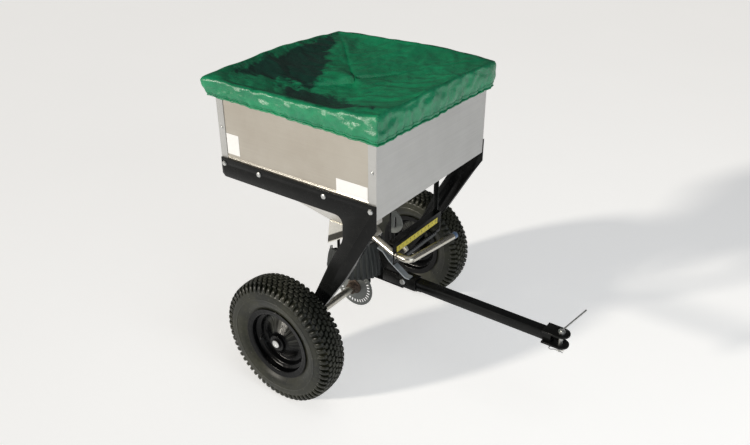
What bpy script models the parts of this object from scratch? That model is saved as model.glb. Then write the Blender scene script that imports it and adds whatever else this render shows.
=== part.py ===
# Towed ground-drive fertilizer spreader: hopper on two side frames, pneumatic wheels, drawbar and hitch.
# The model is drawn with +X forward, +Y to the left and +Z up, and its zero is the centre of the axle.
# A root empty then lifts it onto its tyres and shifts it, so that the frame's origin is the centre of
# the object's footprint on the ground.
import bpy
import bmesh
from math import atan2, cos, hypot, pi, radians, sin, sqrt
from mathutils import Matrix, Vector

# Fits
GAP = 0.0003
RUNNING = 0.0001

# Wheels and axle
TYRE_RADIUS = 0.205
TYRE_SECTION = 0.098
TYRE_WALL = 0.009
TREAD_LUGS = 48
TREAD_DEPTH = 0.0055
BEAD_RADIUS = 0.1015
RIM_WIDTH = 0.083
RIM_SHEET = 0.003
RIM_LIP = 0.016
HUB_WALL = 0.0085
HUB_LENGTH = 0.076
WEB_RISE = 0.026
WEB_RADIUS = 0.0655
WHEEL_CLEARANCE = 0.0241
AXLE_RADIUS = 0.0125
BEARING_WALL = 0.005
BUSH_FLANGE = 0.003

# Hopper
HOPPER_LENGTH = 0.572
HOPPER_WIDTH = 0.5732
HOPPER_CENTRE_X = 0.002
HOPPER_TOP = 0.740
PANEL_BOTTOM = 0.457
SHEET = 0.0015
PANEL_FLANGE = 0.026
FUNNEL_TOP = 0.489
FUNNEL_LIP = 0.030
OUTLET_HALF = 0.060
NECK_TOP = 0.255
NECK_BOTTOM = 0.2318

# Side frames
FRAME_PLATE = 0.005
BAND_TOP = 0.501
BAND_BOTTOM = 0.439
LEG_LIP = 0.014
FOOT_WALL = 0.0135
BOLT_HEAD_RADIUS = 0.0075
BOLT_HEAD_HEIGHT = 0.0045
BOLT_SHANK_RADIUS = 0.0035
BAND_BOLT_Z = 0.483
BAND_BOLT_INSET = 0.015

# Hood below the outlet
HOOD_TOP = 0.253
HOOD_REAR_Z = 0.170
HOOD_SLOPE = 0.60
HOOD_FLARE = 0.006

# Metering shutter and rate lever
PIVOT_X = -0.220
PIVOT_Y = 0.031
PIVOT_RADIUS = 0.005
BLADE = 0.003
METERING_PLATE = 0.0025
PORT_LENGTH = 0.064
PORT_NEAR_Y = 0.014
PORT_FAR_Y = 0.048
LEVER_ANGLE = radians(-8.0)
LEVER_RADIUS = 0.011
LEVER_START = 0.293
LEVER_CRANK = 0.392
LEVER_REACH = 0.451
LEVER_HEIGHT = 0.1875
LEVER_BEND = 0.020
GRIP_LENGTH = 0.216
PLUG_LENGTH = 0.016
SUPPORT_WIDTH = 0.040
SUPPORT_THICKNESS = 0.005

# Rate scale
SCALE_X = 0.176
SCALE_PLATE = 0.003
SCALE_NEAR_Y = -0.046
SCALE_FAR_Y = 0.232
SLOT_CLEARANCE_ABOVE = 0.001
SLOT_CLEARANCE_BELOW = 0.003
SCALE_RAIL_ABOVE = 0.037
SCALE_RAIL_BELOW = 0.0125
SCALE_RETURN = 0.022
STRIP_NEAR_Y = -0.029
STRIP_LENGTH = 0.237
STRIP_HEIGHT = 0.0195
STRIP_THICKNESS = 0.0012
RACK_HEIGHT = 0.012
RACK_TOOTH_PITCH = 0.0105
RACK_THICKNESS = 0.004
HANGER_RADIUS = 0.0395
HANGER_Z = 0.311
HANGER_SHEET = 0.004
UPRIGHT_WIDTH = 0.018
UPRIGHT_NEAR_Y = -0.034

# Ground drive
GEAR_SHEET = 0.002
GEAR_SLOTS = 32
GEAR_RIM = 0.010
SLOT_RING = 0.057
SLOT_LENGTH = 0.011
SLOT_WIDTH = 0.006
PINION_TEETH = 8
PINION_HEIGHT = 0.009
TOOTH_WIDTH = 0.003
COLLAR_WALL = 0.0065
COLLAR_FLANGE = 0.007
COLLAR_LENGTH = 0.024
SHAFT_RADIUS = 0.006
SHAFT_BOTTOM = 0.027
SHAFT_TOP = 0.281
IMPELLER_RISE = 0.0215
IMPELLER_SHEET = 0.002
FIN_HEIGHT = 0.018
FIN_COUNT = 4
AGITATOR_RADIUS = 0.004
AGITATOR_REACH = 0.046

# Gear bracket
BRACKET_SHEET = 0.004
BRACKET_FAR_Y = 0.044
BRACKET_NEAR_Y = -0.030
BRACKET_REAR_X = -0.050
POST_RADIUS = 0.005
FRONT_POST_INSET_X = 0.012
FRONT_POST_INSET_Y = 0.013
REAR_POST_INSET_X = 0.026
REAR_POST_INSET_Y = 0.0075
IMPELLER_CLEARANCE = 0.0015

# Curtain round the spinner
CURTAIN_START = radians(-150.0)
CURTAIN_END = radians(58.0)
CURTAIN_THICKNESS = 0.0022
CURTAIN_HEIGHT = 0.171
CURTAIN_CLEARANCE = 0.0138
CURTAIN_TILT = 0.026
CURTAIN_FLARE = 0.017
CURTAIN_FLARE_FRONT = 0.009
CURTAIN_FOLDS = 22
CURTAIN_FOLD_DEPTH = 0.0022
RING_THICKNESS = 0.003
RING_HEIGHT = 0.010

# Drawbar and hitch
DRAWBAR_SIZE = 0.030
DRAWBAR_WALL = 0.003
DRAWBAR_REAR_X = 0.132
DRAWBAR_FRONT_X = 0.700
SLEEVE_WALL = 0.0037
SLEEVE_REAR_X = 0.119
SLEEVE_FRONT_X = 0.243
DRAWBAR_BOLT_X = 0.198
CLEVIS_WIDTH = 0.050
CLEVIS_PLATE = 0.006
CLEVIS_REAR_X = 0.676
CLEVIS_PIN_X = 0.7253
PIN_RADIUS = 0.0063
PIN_HEAD_RADIUS = 0.0105
PIN_ROD_RADIUS = 0.0026
PIN_ROD_REACH = 0.118
PIN_ROD_LEAN = 0.022
PIN_ROD_RISE = 0.010
PIN_TAIL = 0.024
CLIP_WIRE = 0.0014
BRACE_Y = -0.012
BRACE_WIDTH = 0.022
BRACE_SHEET = 0.004
BRACE_TOE_X = 0.2225
BRACE_BEND_X = 0.206
BRACE_KNEE_X = 0.145
BRACE_KNEE_RISE = 0.0405
BRACE_CREST_X = 0.120
BRACE_CREST_RISE = 0.0665
BRACE_END_X = 0.100
BRACE_END_RISE = 0.0725
GUSSET_SHEET = 0.006
GUSSET_FOOT_X = 0.200
GUSSET_THROAT_X = 0.113
GUSSET_THROAT_RISE = 0.020

# Cover
COVER_OVERHANG = 0.0135
COVER_SHEET = 0.003
COVER_RISE = 0.011
COVER_SKIRT = 0.070
COVER_SAG = 0.014
COVER_CORNER = 0.030
COVER_WAVES = 26
COVER_WAVE_DEPTH = 0.0018

ROUND = 24
WHEEL_SEGMENTS = 32
HOPPER_HALF_X = HOPPER_LENGTH / 2
HOPPER_HALF_Y = HOPPER_WIDTH / 2
BAND_REAR_X = HOPPER_CENTRE_X - HOPPER_HALF_X + SHEET
BAND_FRONT_X = HOPPER_CENTRE_X + HOPPER_HALF_X + SHEET
BAND_BOLT_XS = (HOPPER_CENTRE_X - HOPPER_HALF_X + BAND_BOLT_INSET,
                HOPPER_CENTRE_X + HOPPER_HALF_X - BAND_BOLT_INSET)
FRAME_INNER_Y = HOPPER_HALF_Y + GAP
FRAME_OUTER_Y = FRAME_INNER_Y + FRAME_PLATE
WHEEL_Y = FRAME_OUTER_Y + WHEEL_CLEARANCE + TYRE_SECTION / 2
AXLE_LENGTH = 2 * WHEEL_Y + HUB_LENGTH + 0.006
BUSH_RADIUS = AXLE_RADIUS + BEARING_WALL
BUSH_BORE = (AXLE_RADIUS + RUNNING) / cos(pi / ROUND)
SLOT_BOTTOM = LEVER_HEIGHT - LEVER_RADIUS - SLOT_CLEARANCE_BELOW
SLOT_TOP = LEVER_HEIGHT + LEVER_RADIUS + SLOT_CLEARANCE_ABOVE
SCALE_BOTTOM = SLOT_BOTTOM - SCALE_RAIL_BELOW
SCALE_TOP = SLOT_TOP + SCALE_RAIL_ABOVE
GEAR_RADIUS = SLOT_RING + SLOT_LENGTH / 2 + GEAR_RIM
PINION_PITCH = SLOT_RING * PINION_TEETH / GEAR_SLOTS
GEAR_Y = -PINION_PITCH
BRACKET_TOP = GEAR_RADIUS + 0.001
IMPELLER_Z = BRACKET_TOP + IMPELLER_RISE
POST_PLACES = ((OUTLET_HALF - FRONT_POST_INSET_X, FRONT_POST_INSET_Y - OUTLET_HALF),
               (REAR_POST_INSET_X - OUTLET_HALF, REAR_POST_INSET_Y - OUTLET_HALF))
IMPELLER_RADIUS = hypot(*POST_PLACES[1]) - POST_RADIUS - IMPELLER_CLEARANCE
BLADE_TOP = NECK_BOTTOM - GAP
CURTAIN_TOP_RADIUS = hypot(*POST_PLACES[0]) + POST_RADIUS + CURTAIN_CLEARANCE
CURTAIN_BOTTOM = BRACKET_TOP + 0.008
SLEEVE_HALF = DRAWBAR_SIZE / 2 + GAP + SLEEVE_WALL
DRAWBAR_Z = BRACKET_TOP + 0.0005 + SLEEVE_HALF
SLEEVE_TOP = DRAWBAR_Z + SLEEVE_HALF
COVER_RIM_Z = HOPPER_TOP + COVER_RISE
COVER_HEM_Z = COVER_RIM_Z - COVER_SKIRT


def clear_scene():
    for obj in list(bpy.data.objects):
        bpy.data.objects.remove(obj, do_unlink=True)


def make_material(name, colour, roughness, metallic):
    material = bpy.data.materials.new(name)
    material.use_nodes = True
    shader = material.node_tree.nodes["Principled BSDF"]
    shader.inputs["Base Color"].default_value = (*colour, 1.0)
    shader.inputs["Roughness"].default_value = roughness
    shader.inputs["Metallic"].default_value = metallic
    return material


def make_materials():
    table = {
        "frame_black": ((0.012, 0.013, 0.014), 0.28, 0.0),
        "stainless": ((0.56, 0.55, 0.52), 0.36, 1.0),
        "zinc": ((0.66, 0.66, 0.64), 0.34, 1.0),
        "rusty_iron": ((0.22, 0.12, 0.07), 0.75, 0.4),
        "tyre": ((0.022, 0.023, 0.025), 0.78, 0.0),
        "rim_black": ((0.010, 0.010, 0.012), 0.22, 0.0),
        "nylon": ((0.75, 0.74, 0.70), 0.45, 0.0),
        "brass": ((0.72, 0.55, 0.28), 0.35, 1.0),
        "plug": ((0.20, 0.27, 0.36), 0.40, 0.0),
        "scale": ((0.85, 0.74, 0.10), 0.45, 0.0),
        "curtain": ((0.085, 0.092, 0.098), 0.62, 0.0),
        "cover": ((0.010, 0.170, 0.085), 0.32, 0.0),
    }
    return {name: make_material(name, *values) for name, values in table.items()}


def finish_mesh(name, mesh_builder, material, origin, smooth):
    """Turns a bmesh drawn in model space into an object whose origin is at the given point."""
    bmesh.ops.remove_doubles(mesh_builder, verts=mesh_builder.verts, dist=0.000001)
    bmesh.ops.recalc_face_normals(mesh_builder, faces=mesh_builder.faces)
    bmesh.ops.translate(mesh_builder, verts=mesh_builder.verts, vec=-Vector(origin))
    mesh = bpy.data.meshes.new(name)
    mesh_builder.to_mesh(mesh)
    mesh_builder.free()
    mesh.materials.append(material)
    obj = bpy.data.objects.new(name, mesh)
    bpy.context.scene.collection.objects.link(obj)
    obj.parent = ROOT
    obj.location = origin
    if smooth:
        mesh.shade_smooth()
        mesh.set_sharp_from_angle(angle=radians(35))
    return obj


def add_prism(builder, outline, axis, low, high):
    """Extrudes an outline along an axis: (y, z) along X, (x, z) along Y, (x, y) along Z."""
    def place(a, b, along):
        if axis == "x":
            return (along, a, b)
        if axis == "y":
            return (a, along, b)
        return (a, b, along)
    bottom = [builder.verts.new(place(a, b, low)) for a, b in outline]
    top = [builder.verts.new(place(a, b, high)) for a, b in outline]
    count = len(outline)
    builder.faces.new(bottom)
    builder.faces.new(list(reversed(top)))
    for i in range(count):
        j = (i + 1) % count
        builder.faces.new((bottom[i], top[i], top[j], bottom[j]))


def add_box(builder, x0, x1, y0, y1, z0, z1):
    add_prism(builder, [(x0, y0), (x1, y0), (x1, y1), (x0, y1)], "z", z0, z1)


def prism(name, outline, axis, low, high, material, origin=(0, 0, 0)):
    builder = bmesh.new()
    add_prism(builder, outline, axis, low, high)
    return finish_mesh(name, builder, material, origin, False)


def box(name, x0, x1, y0, y1, z0, z1, material, origin=(0, 0, 0)):
    return prism(name, [(x0, y0), (x1, y0), (x1, y1), (x0, y1)], "z", z0, z1, material, origin)


def add_revolved(builder, profile, axis, centre, segments):
    """Turns a closed (radius, along) profile about an axis through centre; radius 0 makes a pole."""
    def place(radius, along, angle):
        u = radius * cos(angle)
        v = radius * sin(angle)
        local = (u, along, v) if axis == "y" else (u, v, along)
        if axis == "x":
            local = (along, u, v)
        return Vector(centre) + Vector(local)
    rings = []
    for radius, along in profile:
        if radius < 1e-9:
            rings.append([builder.verts.new(place(0.0, along, 0.0))] * segments)
        else:
            rings.append([builder.verts.new(place(radius, along, 2 * pi * k / segments))
                          for k in range(segments)])
    count = len(profile)
    for i in range(count):
        j = (i + 1) % count
        if profile[i][0] < 1e-9 and profile[j][0] < 1e-9:
            continue
        for k in range(segments):
            n = (k + 1) % segments
            corners = []
            for vert in (rings[i][k], rings[i][n], rings[j][n], rings[j][k]):
                if vert not in corners:
                    corners.append(vert)
            builder.faces.new(corners)


def revolved(name, profile, axis, centre, material, segments=ROUND, origin=None):
    builder = bmesh.new()
    add_revolved(builder, profile, axis, centre, segments)
    return finish_mesh(name, builder, material, origin or centre, True)


def sleeve_profile(inner, outer, low, high):
    return [(inner, low), (outer, low), (outer, high), (inner, high)]


def rod_profile(radius, low, high, chamfer=0.0):
    if chamfer <= 0:
        return [(0.0, low), (radius, low), (radius, high), (0.0, high)]
    return [(0.0, low), (radius - chamfer, low), (radius, low + chamfer),
            (radius, high - chamfer), (radius - chamfer, high), (0.0, high)]


def add_tube(builder, points, radius, sides, closed=False):
    """Sweeps a round section along points, turning the section as little as possible."""
    points = [Vector(p) for p in points]
    count = len(points)
    tangents = []
    for i in range(count):
        before = points[i - 1] if (i > 0 or closed) else points[i]
        after = points[(i + 1) % count] if (i < count - 1 or closed) else points[i]
        tangents.append((after - before).normalized())
    normal = tangents[0].orthogonal().normalized()
    rings = []
    for i in range(count):
        normal = (normal - tangents[i] * normal.dot(tangents[i])).normalized()
        side = tangents[i].cross(normal)
        rings.append([builder.verts.new(points[i] + radius * (cos(2 * pi * k / sides) * normal
                                                              + sin(2 * pi * k / sides) * side))
                      for k in range(sides)])
    for i in range(count - 1):
        for k in range(sides):
            n = (k + 1) % sides
            builder.faces.new((rings[i][k], rings[i][n], rings[i + 1][n], rings[i + 1][k]))
    builder.faces.new(rings[0])
    builder.faces.new(list(reversed(rings[-1])))


def tube(name, points, radius, sides, material, origin=(0, 0, 0)):
    builder = bmesh.new()
    add_tube(builder, points, radius, sides)
    return finish_mesh(name, builder, material, origin, True)


def rounded_path(corners, radius, steps):
    """Replaces each inner corner of a polyline with an arc of the given radius."""
    corners = [Vector(c) for c in corners]
    path = [corners[0]]
    for i in range(1, len(corners) - 1):
        back = (corners[i - 1] - corners[i]).normalized()
        ahead = (corners[i + 1] - corners[i]).normalized()
        half = back.angle(ahead) / 2
        reach = radius / abs(sin(half) / cos(half))
        centre = corners[i] + (back + ahead).normalized() * radius / sin(half)
        start = corners[i] + back * reach - centre
        end = corners[i] + ahead * reach - centre
        sweep = start.angle(end)
        axis = start.cross(end).normalized()
        for s in range(steps + 1):
            path.append(centre + Matrix.Rotation(sweep * s / steps, 3, axis) @ start)
    path.append(corners[-1])
    return path


def add_modifier_cut(target, cutter, operation="DIFFERENCE"):
    modifier = target.modifiers.new(cutter.name, "BOOLEAN")
    modifier.operation = operation
    modifier.object = cutter
    modifier.solver = "EXACT"
    cutter.hide_render = True
    cutter.display_type = "WIRE"


def bore(target, name, axis, centre, radius, low, high, segments=ROUND):
    """Cuts a round hole; low and high are measured along the axis from centre."""
    builder = bmesh.new()
    add_revolved(builder, rod_profile(radius, low, high), axis, centre, segments)
    cutter = finish_mesh(name, builder, MATERIALS["zinc"], (0, 0, 0), False)
    add_modifier_cut(target, cutter)


def union(target, builder, name):
    part = finish_mesh(name, builder, MATERIALS["zinc"], (0, 0, 0), False)
    add_modifier_cut(target, part, "UNION")


def cut(target, builder, name):
    part = finish_mesh(name, builder, MATERIALS["zinc"], (0, 0, 0), False)
    add_modifier_cut(target, part)


def arc_points(centre, radius, start, end, steps):
    return [(centre[0] + radius * cos(start + (end - start) * s / steps),
             centre[1] + radius * sin(start + (end - start) * s / steps)) for s in range(steps + 1)]


def side_name(side):
    return "right" if side < 0 else "left"


def leg_front_edge():
    """Front edge of the side frame from the band down to the foot, as (x, z)."""
    return [(BAND_FRONT_X, 0.427), (0.265, 0.387), (0.179, 0.235), (0.1025, 0.118)]


def make_side_frame(side):
    foot = (0.004, 0.0)
    front = leg_front_edge()
    outline = [(BAND_REAR_X, BAND_TOP), (BAND_FRONT_X, BAND_TOP)] + front
    outline += arc_points(foot, BUSH_RADIUS + FOOT_WALL, radians(30), radians(-210), 14)
    outline += [(0.067, 0.151), (0.128, 0.280), (0.1715, 0.357), (0.176, 0.372)]
    outline += arc_points((0.1515, BAND_BOTTOM - 0.025), 0.025, radians(0), radians(90), 5)
    outline += [(BAND_REAR_X + 0.010, BAND_BOTTOM), (BAND_REAR_X, BAND_BOTTOM + 0.010)]
    low, high = sorted((side * FRAME_INNER_Y, side * FRAME_OUTER_Y))
    frame = prism(f"side_frame_{side_name(side)}", outline, "y", low, high, MATERIALS["frame_black"])
    lip = bmesh.new()
    inset = FRAME_PLATE
    edge = front[1:]
    outer = [(x, z) for x, z in edge]
    inner = [(x - inset * 0.86, z + inset * 0.5) for x, z in reversed(edge)]
    near, far = sorted((side * (FRAME_OUTER_Y - 0.001), side * (FRAME_INNER_Y - LEG_LIP)))
    add_prism(lip, outer + inner, "y", near, far)
    union(frame, lip, f"leg_lip_{side_name(side)}")
    bore(frame, f"axle_hole_{side_name(side)}", "y", (0, side * FRAME_INNER_Y, 0),
         BUSH_RADIUS + GAP, -0.03, 0.03)
    for i, x in enumerate(BAND_BOLT_XS):
        bore(frame, f"band_hole_{side_name(side)}_{i}", "y", (x, side * FRAME_INNER_Y, BAND_BOLT_Z),
             BOLT_SHANK_RADIUS + GAP, -0.02, 0.02, 12)
    return frame


def make_band_bolt(side, index, x):
    start = side * (HOPPER_HALF_Y - 3 * SHEET)
    face = side * (FRAME_OUTER_Y + GAP)
    head = side * (FRAME_OUTER_Y + GAP + BOLT_HEAD_HEIGHT)
    profile = [(0.0, start), (BOLT_SHANK_RADIUS, start), (BOLT_SHANK_RADIUS, face),
               (BOLT_HEAD_RADIUS, face), (BOLT_HEAD_RADIUS, (face + head) / 2),
               (BOLT_HEAD_RADIUS * 0.72, head), (0.0, head)]
    revolved(f"frame_bolt_{side_name(side)}_{index + 1}", profile, "y", (x, 0, BAND_BOLT_Z),
             MATERIALS["zinc"], 12)


def make_end_panel(name, side):
    """Front or rear panel: a sheet with flanges folded back along the hopper's sides."""
    outer_x = HOPPER_CENTRE_X + side * HOPPER_HALF_X
    fold_x = outer_x - side * PANEL_FLANGE
    inner_x = outer_x - side * SHEET
    half = HOPPER_HALF_Y
    inner = HOPPER_HALF_Y - SHEET
    outline = [(fold_x, -half), (outer_x, -half), (outer_x, half), (fold_x, half),
               (fold_x, inner), (inner_x, inner), (inner_x, -inner), (fold_x, -inner)]
    panel = prism(name, outline, "z", PANEL_BOTTOM, HOPPER_TOP, MATERIALS["stainless"])
    x = max(BAND_BOLT_XS) if side > 0 else min(BAND_BOLT_XS)
    bore(panel, f"{name}_bolt_hole", "y", (x, 0, BAND_BOLT_Z), BOLT_SHANK_RADIUS + GAP, -0.5, 0.5, 12)


def make_side_panel(side):
    outer = side * (HOPPER_HALF_Y - SHEET - GAP)
    inner = outer - side * SHEET
    reach = HOPPER_HALF_X - SHEET - GAP
    low, high = sorted((outer, inner))
    panel = box(f"hopper_{side_name(side)}_panel", HOPPER_CENTRE_X - reach, HOPPER_CENTRE_X + reach,
                low, high, PANEL_BOTTOM, HOPPER_TOP, MATERIALS["stainless"])
    for i, x in enumerate(BAND_BOLT_XS):
        bore(panel, f"panel_hole_{side_name(side)}_{i}", "y", (x, outer, BAND_BOLT_Z),
             BOLT_SHANK_RADIUS + GAP, -0.01, 0.01, 12)


def square_ring(builder, centre_x, half_x, half_y, z):
    corners = ((-1, -1), (1, -1), (1, 1), (-1, 1))
    return [builder.verts.new((centre_x + sx * half_x, sy * half_y, z)) for sx, sy in corners]


def add_ring_stack(builder, rings, closed):
    count = len(rings)
    last = count if closed else count - 1
    for i in range(last):
        a = rings[i]
        b = rings[(i + 1) % count]
        for k in range(len(a)):
            n = (k + 1) % len(a)
            builder.faces.new((a[k], a[n], b[n], b[k]))


def make_funnel():
    """Hopper floor: a four-sided funnel with a lip inside the panels and a square neck below."""
    builder = bmesh.new()
    inset = SHEET + 2 * GAP
    top_x = HOPPER_HALF_X - inset - GAP
    top_y = HOPPER_HALF_Y - SHEET - inset - GAP
    outer = [(OUTLET_HALF, OUTLET_HALF, NECK_BOTTOM, 0.0), (OUTLET_HALF, OUTLET_HALF, NECK_TOP, 0.0),
             (top_x, top_y, FUNNEL_TOP, HOPPER_CENTRE_X), (top_x, top_y, FUNNEL_TOP + FUNNEL_LIP, HOPPER_CENTRE_X)]
    rings = [square_ring(builder, cx, hx, hy, z) for hx, hy, z, cx in outer]
    for hx, hy, z, cx in reversed(outer):
        rings.append(square_ring(builder, cx, hx - SHEET, hy - SHEET, z))
    add_ring_stack(builder, rings, True)
    finish_mesh("hopper_funnel", builder, MATERIALS["stainless"], (0, 0, 0), False)


def make_hood():
    """Three-walled discharge hood: its lower edge rises forwards, and the shutter passes through it."""
    builder = bmesh.new()
    top = OUTLET_HALF + GAP + SHEET
    front_x = OUTLET_HALF
    sheet = SHEET
    flare = HOOD_FLARE

    def bottom_z(x):
        return HOOD_REAR_Z + HOOD_SLOPE * (x + top + flare)
    meet_x = (HOOD_TOP - HOOD_REAR_Z) / HOOD_SLOPE - top - flare
    front_x = min(front_x, meet_x - 0.006)
    rear = top + flare
    outer_top = [(front_x, -top), (-top, -top), (-top, top), (front_x, top)]
    outer_low = [(front_x, -top - flare * 0.2), (-rear, -rear), (-rear, rear), (front_x, top + flare * 0.2)]
    inner_top = [(front_x, -top + sheet), (-top + sheet, -top + sheet), (-top + sheet, top - sheet),
                 (front_x, top - sheet)]
    inner_low = [(front_x, -top - flare * 0.2 + sheet), (-rear + sheet, -rear + sheet),
                 (-rear + sheet, rear - sheet), (front_x, top + flare * 0.2 - sheet)]
    a = [builder.verts.new((x, y, HOOD_TOP)) for x, y in outer_top]
    b = [builder.verts.new((x, y, bottom_z(x))) for x, y in outer_low]
    c = [builder.verts.new((x, y, HOOD_TOP)) for x, y in inner_top]
    d = [builder.verts.new((x, y, bottom_z(x))) for x, y in inner_low]
    for i in range(3):
        j = i + 1
        builder.faces.new((a[i], a[j], b[j], b[i]))
        builder.faces.new((c[j], c[i], d[i], d[j]))
        builder.faces.new((a[j], a[i], c[i], c[j]))
        builder.faces.new((b[i], b[j], d[j], d[i]))
    for i in (0, 3):
        builder.faces.new((a[i], b[i], d[i], c[i]))
    hood = finish_mesh("spreader_hood", builder, MATERIALS["stainless"], (0, 0, 0), False)
    passage = bmesh.new()
    add_box(passage, -0.1, 0.1, -0.020, 0.1, BLADE_TOP - BLADE - 0.002, HOOD_TOP + 0.01)
    cut(hood, passage, "shutter_passage")


def make_metering_plate():
    half = OUTLET_HALF - SHEET - GAP
    low = NECK_BOTTOM
    plate = box("metering_plate", -half, half, -half, half, low, low + METERING_PLATE, MATERIALS["stainless"])
    port = bmesh.new()
    add_box(port, -PORT_LENGTH / 2, PORT_LENGTH / 2, PORT_NEAR_Y, PORT_FAR_Y, low - 0.01, low + 0.02)
    cut(plate, port, "metering_port")
    bore(plate, "shaft_clearance", "z", (0, 0, low), SHAFT_RADIUS + 0.0015, -0.01, 0.02)


def lever_point(reach, z):
    return (PIVOT_X + reach * cos(LEVER_ANGLE), PIVOT_Y + reach * sin(LEVER_ANGLE), z)


def make_shutter_blade():
    """Flat blade that swings on the pivot bolt, covers the port and carries the lever's tube."""
    start = lever_point(LEVER_START, 0)
    margin = 0.006
    near = PORT_NEAR_Y - margin
    far = PORT_FAR_Y + margin
    half = PORT_LENGTH / 2 + margin
    boss = SUPPORT_WIDTH / 2
    outline = arc_points((PIVOT_X, PIVOT_Y), boss, radians(70), radians(290), 10)
    outline += [(-half, near), (half, near), (OUTLET_HALF + 0.002, start[1] - 0.012),
                (start[0] + 0.028, start[1] - 0.012), (start[0] + 0.028, start[1] + 0.016),
                (half + 0.012, far - 0.010), (half, far), (-half, far)]
    blade = prism("shutter_blade", outline, "z", BLADE_TOP - BLADE, BLADE_TOP, MATERIALS["stainless"],
                  (PIVOT_X, PIVOT_Y, BLADE_TOP))
    bore(blade, "blade_pivot_hole", "z", (PIVOT_X, PIVOT_Y, BLADE_TOP), PIVOT_RADIUS + RUNNING, -0.02, 0.02)


def make_pivot_support():
    low = NECK_BOTTOM
    half = SUPPORT_WIDTH / 2
    rear = arc_points((PIVOT_X, PIVOT_Y), half, radians(90), radians(270), 10)
    front_x = -OUTLET_HALF - 2 * GAP - SHEET
    outline = rear + [(front_x, PIVOT_Y - half), (front_x, PIVOT_Y + half)]
    bar = prism("lever_pivot_support", outline, "z", low, low + SUPPORT_THICKNESS, MATERIALS["frame_black"])
    bore(bar, "support_pivot_hole", "z", (PIVOT_X, PIVOT_Y, low), PIVOT_RADIUS + GAP, -0.02, 0.02)


def make_pivot_bolt():
    head_low = BLADE_TOP - BLADE - GAP - 0.007
    head_top = BLADE_TOP - BLADE - GAP
    nut_low = NECK_BOTTOM + SUPPORT_THICKNESS + GAP
    nut_top = nut_low + 0.008
    profile = [(0.0, head_low), (0.0085, head_low), (0.0085, head_top), (PIVOT_RADIUS, head_top),
               (PIVOT_RADIUS, nut_low), (0.0085, nut_low), (0.0085, nut_top), (0.0, nut_top)]
    revolved("lever_pivot_bolt", profile, "z", (PIVOT_X, PIVOT_Y, 0), MATERIALS["zinc"], 16)


def make_rate_lever():
    start_z = BLADE_TOP - BLADE - GAP - LEVER_RADIUS + 0.0002
    bend = lever_point(LEVER_REACH, LEVER_HEIGHT)
    across = Vector((-sin(LEVER_ANGLE), cos(LEVER_ANGLE), 0))
    end = Vector(bend) + across * GRIP_LENGTH
    corners = [lever_point(LEVER_START, start_z), lever_point(LEVER_CRANK, LEVER_HEIGHT), bend, end]
    path = rounded_path(corners, LEVER_BEND, 6)
    pivot = (PIVOT_X, PIVOT_Y, LEVER_HEIGHT)
    tube("rate_lever", path, LEVER_RADIUS, 16, MATERIALS["stainless"], pivot)
    direction = across.normalized()
    cap = bmesh.new()
    add_tube(cap, [end + direction * GAP, end + direction * (PLUG_LENGTH * 0.75), end + direction * PLUG_LENGTH],
             LEVER_RADIUS + 0.0004, 16)
    finish_mesh("lever_end_plug", cap, MATERIALS["plug"], pivot, True)


def make_lever_screw():
    """Wing screw on the lever's far side, just behind the scale bracket."""
    axis_point = Vector(lever_point(LEVER_CRANK + 0.030, LEVER_HEIGHT))
    across = Vector((-sin(LEVER_ANGLE), cos(LEVER_ANGLE), 0))
    base = axis_point + across * (LEVER_RADIUS + GAP)
    builder = bmesh.new()
    add_tube(builder, [base, base + across * 0.004, base + across * 0.0041, base + across * 0.012], 0.0042, 10)
    finish_mesh("lever_lock_screw", builder, MATERIALS["zinc"], (PIVOT_X, PIVOT_Y, LEVER_HEIGHT), True)


def make_scale_bracket():
    x0 = SCALE_X
    x1 = SCALE_X + SCALE_PLATE
    section = [(x0 - SCALE_RETURN, SCALE_TOP), (x1, SCALE_TOP), (x1, SCALE_BOTTOM), (x0, SCALE_BOTTOM),
               (x0, SCALE_TOP - SCALE_PLATE), (x0 - SCALE_RETURN, SCALE_TOP - SCALE_PLATE)]
    bracket = prism("scale_bracket", section, "y", SCALE_NEAR_Y, SCALE_FAR_Y, MATERIALS["frame_black"])
    slot = bmesh.new()
    add_box(slot, x0 - 0.01, x1 + 0.01, SCALE_NEAR_Y + 0.006, SCALE_FAR_Y - 0.006,
            SLOT_BOTTOM, SLOT_TOP)
    cut(bracket, slot, "lever_slot")


def make_scale_strip():
    face = SCALE_X + SCALE_PLATE + GAP
    low = SLOT_TOP + 0.0025
    box("scale_strip", face, face + STRIP_THICKNESS, STRIP_NEAR_Y, STRIP_NEAR_Y + STRIP_LENGTH,
        low, low + STRIP_HEIGHT, MATERIALS["scale"])


def make_notched_rail():
    """Grey rail below the slot, with a row of notches in its upper edge for the rate stop."""
    face = SCALE_X + SCALE_PLATE + GAP
    top = SLOT_BOTTOM - 0.0005
    low = top - RACK_HEIGHT
    depth = RACK_HEIGHT * 0.35
    near = STRIP_NEAR_Y + 0.030
    count = int((STRIP_LENGTH - 0.030) / RACK_TOOTH_PITCH)
    outline = [(near, low), (near, top)]
    for i in range(count):
        y = near + i * RACK_TOOTH_PITCH
        outline += [(y + RACK_TOOTH_PITCH * 0.55, top), (y + RACK_TOOTH_PITCH * 0.60, top - depth),
                    (y + RACK_TOOTH_PITCH * 0.95, top - depth), (y + RACK_TOOTH_PITCH, top)]
    outline.append((near + count * RACK_TOOTH_PITCH, low))
    prism("notched_rail", outline, "x", face, face + RACK_THICKNESS, MATERIALS["zinc"])


def funnel_under(x, y):
    """Height of the funnel's underside above a point beside the outlet."""
    slope_x = (FUNNEL_TOP - NECK_TOP) / (HOPPER_HALF_X - OUTLET_HALF)
    slope_y = (FUNNEL_TOP - NECK_TOP) / (HOPPER_HALF_Y - OUTLET_HALF)
    return NECK_TOP + max((abs(x) - OUTLET_HALF) * slope_x, (abs(y) - OUTLET_HALF) * slope_y)


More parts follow.
